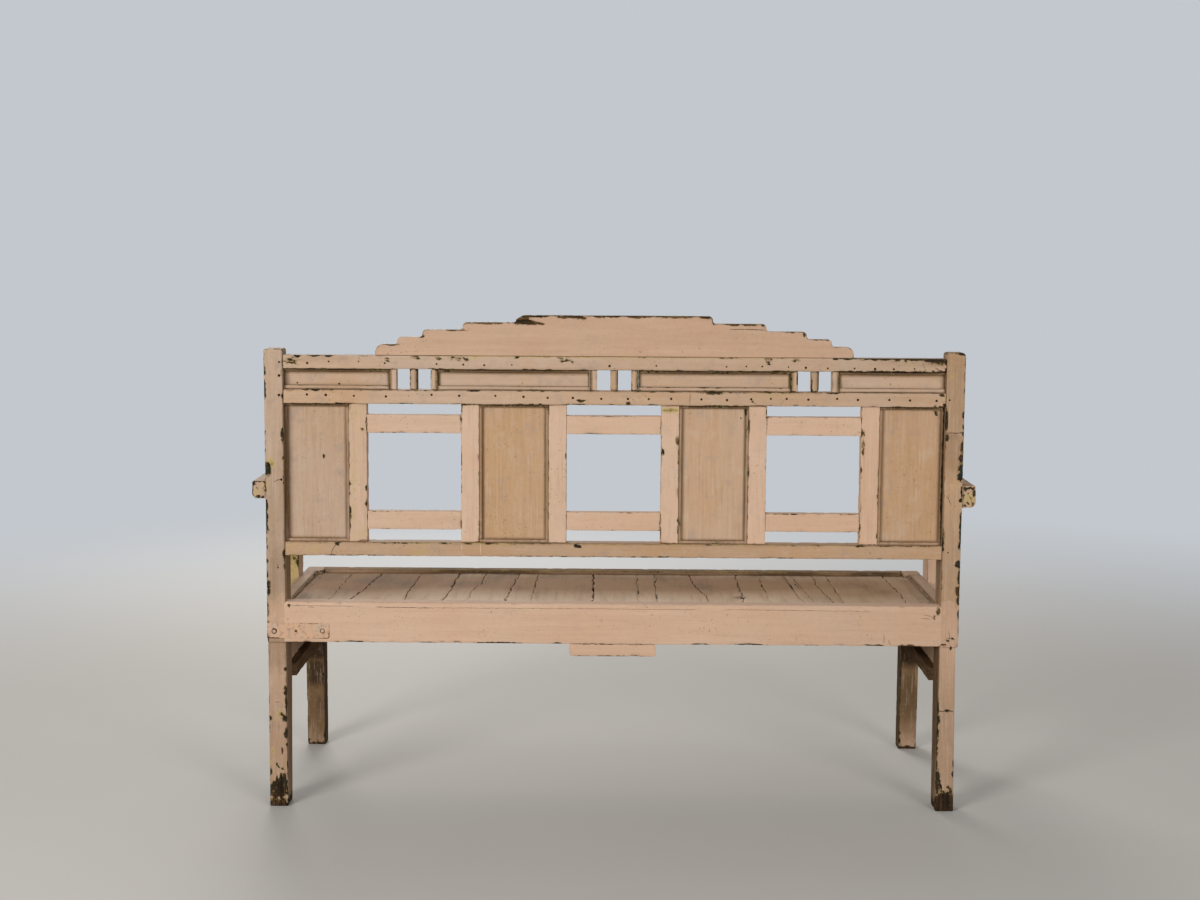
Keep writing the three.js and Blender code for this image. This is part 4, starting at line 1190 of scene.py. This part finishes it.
# Each line runs from back to front as (y, x). Joints are open all the way, and splits close at their ends
JOINTS = [
    [(34, -717), (509, -717)],
    [(34, -599), (169, -588), (398, -567), (509, -560)],
    [(34, -384), (144, -380), (492, -373), (509, -373)],
    [(34, -246), (137, -242), (353, -233), (509, -228)],
    [(34, -42), (200, -44), (509, -46)],
    [(34, 220), (204, 214), (287, 203), (395, 191), (509, 188)],
    [(34, 294), (147, 295), (509, 299)],
    [(34, 500), (155, 495), (371, 484), (509, 484)],
    [(34, 663), (156, 662), (321, 663), (509, 656)],
    [(34, 717), (509, 717)],
]
SPLITS = [
    [(153, -470), (300, -468), (487, -466)],
    [(249, -326), (342, -320), (350, -313), (487, -306)],
    [(248, -183), (380, -181), (501, -181)],
    [(230, 357), (400, 354), (509, 352)],
    [(146, 430), (268, 423), (391, 420), (509, 416)],
    [(173, 451), (406, 440), (509, 433)],
    [(163, 520), (388, 519)],
    [(60, 60), (180, 58)],
    [(330, 100), (460, 104)],
    [(60, -640), (210, -636)],
]
FIRST_SPLIT_KEY = 20
JOINT_GAP = 2.4
SPLIT_GAP = 2
# The one joint that has opened widest
WIDE_JOINT = 4
WIDE_GAP = 4
SPLIT_FADE = 60
JAG = 4.6
JAG_SCALE = 0.035
LEAST_JOINT = 0.3
LEAST_SPLIT = 0.04
# The notches round the posts and the legs, as (x, y, which way they run from there)
NOTCHES = [(-708.5, 75.5, -1), (-704.5, 488.5, 1)]
DIRT_INSET = 2
DIRT_GRIP = 1.2
DIRT_LEVEL = 9 * MM
DIRT_THICKNESS = 3 * MM
DIRT_ROWS = 70

SEAT_TONES = [0.2, 0.5, 0.1, 0.6, 0.35, 0.75, 0.25, 0.5, 0.3]
SEAT_STAINS = [((0, 330, 432), (760, 130, 20), 0.22), ((0, 490, 430), (760, 50, 16), 0.42),
               ((-717, 280, 435), (24, 260, 16), 0.5), ((717, 280, 435), (24, 260, 16), 0.5),
               ((290, 200, 434), (12, 16, 16), 0.9), ((-500, 330, 434), (60, 50, 16), 0.35),
               ((-610, 440, 432), (120, 80, 16), 0.45)]
# Painted shade of the back across the middle and far part of the seat, with two darker patches
SEAT_SHADE = [((0, 368, 432), (760, 116, 20), 0.92), ((560, 340, 432), (160, 150, 20), 0.8),
             ((-590, 400, 432), (190, 150, 20), 1.2)]
SEAT_SPOTS = [((295, 190, 435), (7, 9, 12), 0.75), ((-44, 240, 435), (4, 60, 12), 0.55)]

# An opening in the seat: its points, whether it is a joint, and a number for its own ragged course
Opening = namedtuple("Opening", "points joint key")
joints = [Opening(points, True, key) for key, points in enumerate(JOINTS)]
splits = [Opening(points, False, key) for key, points in enumerate(SPLITS, start=FIRST_SPLIT_KEY)]
seat_low, seat_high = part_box("seat_board_5")


def course_at(opening, y):
    """Where an opening runs at y. The outermost joints lie straight along the side rails."""
    ys, xs = zip(*opening.points)
    course = float(np.interp(y, ys, xs))
    if opening.joint and opening.key in (0, len(JOINTS) - 1):
        return course
    fine = noise.noise(Vector((opening.key * 3.7, y * JAG_SCALE * 4, 0.5))) * 0.35
    return course + JAG * (noise.noise(Vector((opening.key * 9.1, y * JAG_SCALE, 2.5))) + fine)


def gap_at(opening, y):
    """Half the width of an opening: joints stay open, and splits close towards their ends."""
    rough = 0.65 + 1.1 * noise.noise(Vector((opening.key * 5.3, y * 0.05, 7.7)))
    if opening.joint:
        return max(LEAST_JOINT, (WIDE_GAP if opening.key == WIDE_JOINT else JOINT_GAP) / 2 * rough)
    start, end = opening.points[0][0], opening.points[-1][0]
    into = min(y - start, end - y) / SPLIT_FADE
    return max(LEAST_SPLIT, SPLIT_GAP / 2 * rough * min(1.0, max(0.0, into)))


def underside(y):
    """How high the lower face of the seat lies at y, as the seat falls a little towards the front."""
    forward = (y - SEAT_REAR) / (SEAT_FRONT - SEAT_REAR)
    rear = seat_high.z - SEAT_THICKNESS
    return rear - forward * (rear - seat_low.z)


def seat_strip(left, right, sag, tone):
    """One strip of a seat board, between two openings."""
    x0, x1 = [np.mean([x for y, x in opening.points]) * MM for opening in (left, right)]
    low, high = place(0, SEAT_REAR, 0), place(0, SEAT_FRONT, 0)
    bm = cube(Vector((x0, low.y, 0)), Vector((x1, high.y, SEAT_THICKNESS)))
    lines = soften(bm, SEAT_ARRIS)
    divide(bm, SEAT_STEP)

    def warp(p):
        y = (p.y - REAR) / MM
        share = (p.x - x0) / (x1 - x0)
        start = course_at(left, y) + gap_at(left, y)
        end = course_at(right, y) - gap_at(right, y)
        x = start + share * (end - start)
        for notch_x, notch_y, front in NOTCHES:
            if (y - notch_y) * front > 0:
                x = min(max(x, notch_x), -notch_x)
        return Vector((x * MM, p.y, underside(y) + p.z + sag * (share - 0.5)))

    lines = reshape(bm, lines, warp)
    weather(bm, lines, tone=tone, edge_wear=0.75, nicks=0.5, wave=1.2, spots=SEAT_SPOTS,
            stains=SEAT_STAINS, ages=SEAT_SHADE)
    return bm


def joint_dirt(opening):
    """Dirt packed low in an opening, so that no light comes up through it."""
    rows = []
    start, end = opening.points[0][0] + DIRT_INSET, opening.points[-1][0] - DIRT_INSET
    for y in np.linspace(start, end, DIRT_ROWS):
        x = course_at(opening, y)
        half = gap_at(opening, y) + DIRT_GRIP
        height = underside(y) + DIRT_LEVEL
        rows.append([((x + reach) * MM, REAR + y * MM, height) for reach in (-half, half)])
    return ribbon(rows, Vector((0, 0, -DIRT_THICKNESS)))


for i, (left, right, tone) in enumerate(zip(joints, joints[1:], SEAT_TONES)):
    inside = [split for split in splits if left.points[1][1] < split.points[0][1] < right.points[1][1]]
    inside.sort(key=lambda split: split.points[0][1])
    edges = [left, *inside, right]
    strips = [
        seat_strip(*pair, SEAT_SAG * ((i + k) % 3 - 1), tone)
        for k, pair in enumerate(zip(edges, edges[1:]))
    ]
    show(f"seat_board_{i + 1}", gather(strips), "seat_wood", "y")

seat_dirt = gather([joint_dirt(opening) for opening in joints[1:-1] + splits])
show("seat_joint_dirt", seat_dirt, "split_dirt", "y")

# The ledgers keep their own shapes, in old bare wood
for node in ("seat_ledger_rear", "seat_ledger_front"):
    ledger = frame["nodes"][node]
    ledger.data.materials.clear()
    ledger.data.materials.append(finish_for("bare_wood", "x"))

# Iron

PLATE_CORNER = 5
PLATE_ARRIS = 0.4 * MM
PLATE_GRID = 5 * MM


def free_end(middle, low, high):
    """Picks the rounded corners at the end of the plate."""
    return middle.x > high.x - WELD and abs(middle.z - (low.z + high.z) / 2) > WELD


board("mending_plate", "painted_iron", "x", rounds=[(free_end, PLATE_CORNER)], arris=PLATE_ARRIS,
      step=PLATE_GRID, edge_wear=0.74, nicks=0, wave=0.2, spots=marks(-1.5, 4, [
          (-733, 393, 6, 6, 0.72), (-687.5, 393, 5, 5, 0.66), (-629, 393, 6, 6, 0.72),
      ]))

HEAD_GROWTH = 1.25
NAIL_STEPS = 12
NAIL_PROUD = 0.3 * MM
NAIL_RIM = 0.3 * MM
NAIL_DEPTH = 2 * MM
HEAD_TAPER = 0.8
FORWARD = Vector((0, 1, 0))
RAY_START = 100 * MM


def rear_face(node, x, z):
    """The point of a board's rear face at x and z, or None beside it."""
    return carriers[node].ray_cast(Vector((x, REAR - RAY_START, z)), FORWARD)[0]


def nail(bm, node, x, z, radius, proud=NAIL_PROUD):
    """A low iron head let into the rear face of the board that carries it."""
    centre = rear_face(node, x * MM, z * MM) + Vector((0, NAIL_DEPTH / 2 - proud, 0))
    turn = Matrix.Rotation(math.radians(90), 4, "X")
    made = bmesh.ops.create_cone(
        bm, cap_ends=True, segments=NAIL_STEPS, radius1=radius * MM, radius2=radius * HEAD_TAPER * MM,
        depth=NAIL_DEPTH, matrix=Matrix.Translation(centre) @ turn,
    )
    edges = dict.fromkeys(e for v in made["verts"] for e in v.link_edges)
    bevel(bm, [e for e in edges if all(v.co.y < centre.y for v in e.verts)], NAIL_RIM, 2)


nails = bmesh.new()
for carrier, heads in NAILS.items():
    for x, z, radius in heads:
        nail(nails, carrier, x, z, radius * HEAD_GROWTH)
show("nails", nails, "nail_iron", "x")

# The two screws of the plate were painted over, so only a dark ring shows round each head
SCREWS = [(-735, 392), (-630, 393.5)]
SCREW_RADIUS = 4.7
SCREW_PROUD = 0.7 * MM
screws = bmesh.new()
for x, z in SCREWS:
    nail(screws, "mending_plate", x, z, SCREW_RADIUS, SCREW_PROUD)
show("screws", screws, "painted_iron", "x")

# Splits and joint lines: the board, the width, and the (x, z) points
CRACKS = [
    ("rear_post_right", 2.2, [(707, 225.5), (722, 224.5), (738, 225.5), (749, 225)]),
    ("rear_post_right", 1.1, [(721, 384), (733, 389), (744, 384)]),
    ("rear_post_right", 1, [(732, 388), (728, 378)]),
    ("rear_post_right", 1, [(737, 386), (744, 378)]),
    ("top_rail", 1.1, [(609.7, 980.3), (605.6, 973.9)]),
    ("top_rail", 1.1, [(658, 984), (666.7, 964)]),
    ("top_rail", 1, [(620, 985), (621.5, 979)]),
    ("top_rail", 2.8, [(684.5, 974), (693, 969), (701, 966), (708, 964)]),
    ("top_rail", 1, [(-690, 986), (-684, 974), (-672, 970)]),
    ("top_rail", 1, [(-700, 982), (-680, 981), (-668, 984)]),
    ("rear_post_right", 2.2, [(711, 834), (724, 835), (736, 834), (750, 835.5)]),
    ("rear_post_right", 1.7, [(712, 697), (719, 695), (722, 688), (726, 679)]),
    ("rear_post_right", 1.4, [(719, 695), (722, 703)]),
    ("rear_post_right", 1, [(728, 405), (731, 390), (729, 381), (730, 372)]),
    ("rear_post_left", 2, [(-732, 719), (-724, 723), (-714, 724)]),
    ("rear_post_left", 1.7, [(-736, 234), (-725, 233.5)]),
    ("rear_post_left", 1.2, [(-724, 298), (-716, 298)]),
    ("lower_back_rail", 1.5, [(-611, 559.5), (-606, 573), (-598, 586)]),
    ("rear_apron", 1.2, [(588, 398), (589, 384), (588.5, 371)]),
    ("rear_apron", 1.1, [(598, 384), (602, 374), (608, 370)]),
    ("rear_apron", 1, [(672, 439), (685, 436), (698, 430)]),
    ("rear_apron", 1, [(668, 431), (690, 429)]),
    ("rear_apron", 0.9, [(-705, 449), (-640, 448.6), (-560, 448.2)]),
    ("rear_apron", 1.3, [(-688, 450.5), (-678, 450)]),
    ("rear_apron", 1.3, [(-664, 446), (-646, 445)]),
    ("rear_apron", 1.4, [(-514, 447), (-450, 446.4), (-387, 445.4)]),
    ("rear_apron", 0.8, [(-387, 446), (-180, 446.5), (0, 446.5), (180, 446)]),
    ("rear_apron", 0.8, [(240, 446.5), (420, 446), (560, 445.5)]),
    ("crest_board", 1.7, [(246, 1052), (285, 1053), (330, 1051)]),
    ("crest_board", 1.2, [(-354, 1046), (-333, 1046.5), (-312, 1046)]),
    ("frieze_rail", 1.5, [(162, 918), (163, 905), (162, 890)]),
    ("frieze_rail", 1.3, [(300, 904), (296, 899), (305, 893)]),
    ("rear_apron", 0.9, [(-92, 369.6), (0, 369.5), (92, 369.6)]),
    ("back_stile_3", 1, [(-122, 790), (-112, 789)]),
]
# Two pale runs of paint under a stile
PAINT_RUNS = [
    ("lower_back_rail", 2, [(-327, 588), (-327, 570)]),
    ("lower_back_rail", 2, [(-287, 588), (-286.5, 562)]),
]
FIRST_RUN_KEY = 60
CRACK_STEP = 3
CRACK_SHAKE = 0.8 * MM
CRACK_DEPTH = 1.2 * MM
CRACK_PROUD = 0.06 * MM


def crack(node, width, points, key):
    """A dirt-filled line that follows the rear face of the board that carries it."""
    stations = []
    for (x0, z0), (x1, z1) in zip(points, points[1:]):
        count = max(1, round(math.hypot(x1 - x0, z1 - z0) / CRACK_STEP))
        stations += [(x0 + (x1 - x0) * i / count, z0 + (z1 - z0) * i / count) for i in range(count)]
    stations.append(points[-1])
    run = Vector((points[-1][0] - points[0][0], 0, points[-1][1] - points[0][1])).normalized()
    across = Vector((-run.z, 0, run.x))
    rows = []
    for i, (x, z) in enumerate(stations):
        shake = noise.noise(Vector((key * 7.3, i * 0.45, 1.5))) * CRACK_SHAKE
        taper = min(1.0, 0.25 + 0.3 * min(i, len(stations) - 1 - i))
        half = width * MM / 2 * taper * (0.75 + 0.5 * noise.noise(Vector((key, i * 0.8, 4.5))))
        hit = rear_face(node, x * MM + across.x * shake, z * MM + across.z * shake)
        if hit is not None:
            middle = hit - FORWARD * CRACK_PROUD
            rows.append((middle - across * half, middle + across * half))
    return ribbon(rows, FORWARD * CRACK_DEPTH)


def show_lines(name, lines, slot, grain, first_key=0):
    """Shows many cracks or runs as one piece."""
    strips = [crack(*line, key) for key, line in enumerate(lines, start=first_key)]
    show(name, gather(strips), slot, grain)


show_lines("dirt_lines", CRACKS, "split_dirt", "x")
show_lines("paint_runs", PAINT_RUNS, "paint_pink", "z", FIRST_RUN_KEY)

# Floor, light and camera

PALE_FLOOR = colour("#d3d1cc")
DULL_FLOOR = colour("#a39a8b")
DARK_FLOOR = colour("#75654f")
BACKGROUND = colour("#c3c8ce")
AMBIENT = colour("#f7f6f8")
AMBIENT_STRENGTH = 0.26
FLOOR_HALF = 60
FADE_START = 1.5
FADE_END = 4.7


def pale_floor():
    """A plain floor that shows pale, throws back less light, and fades into the background."""
    finish = new_finish("pale_floor")
    seen = finish.node("ShaderNodeLightPath", out="Is Camera Ray")
    where = finish.node("ShaderNodeTexCoord", out="Object")
    away = finish.node("ShaderNodeVectorMath", {"operation": "LENGTH"}, {0: where}, out="Value")
    clouds = finish.clouds(where, 2)
    base = finish.mix(seen, DARK_FLOOR, finish.mix(clouds * 0.1, PALE_FLOOR, DULL_FLOOR))
    near = finish.node("ShaderNodeBsdfPrincipled", {}, {"Base Color": base, "Roughness": 0.8})
    far = finish.node("ShaderNodeEmission", {}, {"Color": BACKGROUND})
    fade = away.rising(FADE_START, FADE_END) * seen
    both = finish.node("ShaderNodeMixShader", {}, {0: fade, 1: near, 2: far})
    finish.node("ShaderNodeOutputMaterial", {}, {"Surface": both})
    return finish.holder


floor_mesh = bmesh.new()
bmesh.ops.create_grid(floor_mesh, x_segments=1, y_segments=1, size=FLOOR_HALF)
floor_data = bpy.data.meshes.new("studio_floor")
floor_mesh.to_mesh(floor_data)
floor_mesh.free()
floor_data.materials.append(pale_floor())
floor = add("studio_floor", floor_data)


def soft_lamp(name, place_at, aim, size, power, tint):
    """A large soft lamp."""
    lamp = bpy.data.lights.new(name, "AREA")
    lamp.shape = "DISK"
    lamp.size = size
    lamp.energy = power
    lamp.color = tint
    holder = add(name, lamp)
    holder.location = place_at
    holder.rotation_euler = (Vector(aim) - Vector(place_at)).to_track_quat("-Z", "Y").to_euler()


soft_lamp("left_lamp", (-2.8, -4.2, 1.75), (0, 0, 0.6), 1.9, 134, (1, 0.985, 0.96))
soft_lamp("right_lamp", (2.5, -4.6, 1.35), (0, 0, 0.55), 1.9, 94, (1, 0.98, 0.95))
soft_lamp("far_lamp", (0.4, 3.8, 3.6), (0, 0, 0.5), 2.4, 22, (1, 0.97, 0.92))
soft_lamp("front_lamp", (-1.2, 4.5, 2.6), (0, 0, 0.5), 2.2, 104, (1, 0.97, 0.93))

world = bpy.data.worlds.new("studio")
bpy.context.scene.world = world
sky = Finish(world)
ambient = sky.node("ShaderNodeBackground", {}, {"Color": AMBIENT, "Strength": AMBIENT_STRENGTH})
backdrop = sky.node("ShaderNodeBackground", {}, {"Color": BACKGROUND})
seen = sky.node("ShaderNodeLightPath", out="Is Camera Ray")
both = sky.node("ShaderNodeMixShader", {}, {0: seen, 1: ambient, 2: backdrop})
sky.node("ShaderNodeOutputWorld", {}, {"Surface": both})

LENS = 54.633
SENSOR = 36
CAMERA_PLACE = Vector((-0.0029, -4.15565, 1.226))
CAMERA_YAW = 0.00682
CAMERA_PITCH = 0.11109
CAMERA_ROLL = 0.006
camera_data = bpy.data.cameras.new("camera")
camera_data.lens = LENS
camera_data.sensor_width = SENSOR
camera_data.sensor_fit = "HORIZONTAL"
camera = add("camera", camera_data)
camera.matrix_world = (
    Matrix.Translation(CAMERA_PLACE)
    @ Matrix.Rotation(CAMERA_YAW, 4, "Z")
    @ Matrix.Rotation(-CAMERA_PITCH, 4, "X")
    @ Matrix.Rotation(-CAMERA_ROLL, 4, "Y")
    @ Matrix.Rotation(math.radians(90), 4, "X")
)
bpy.context.scene.camera = camera
bpy.context.scene.view_settings.view_transform = "Standard"
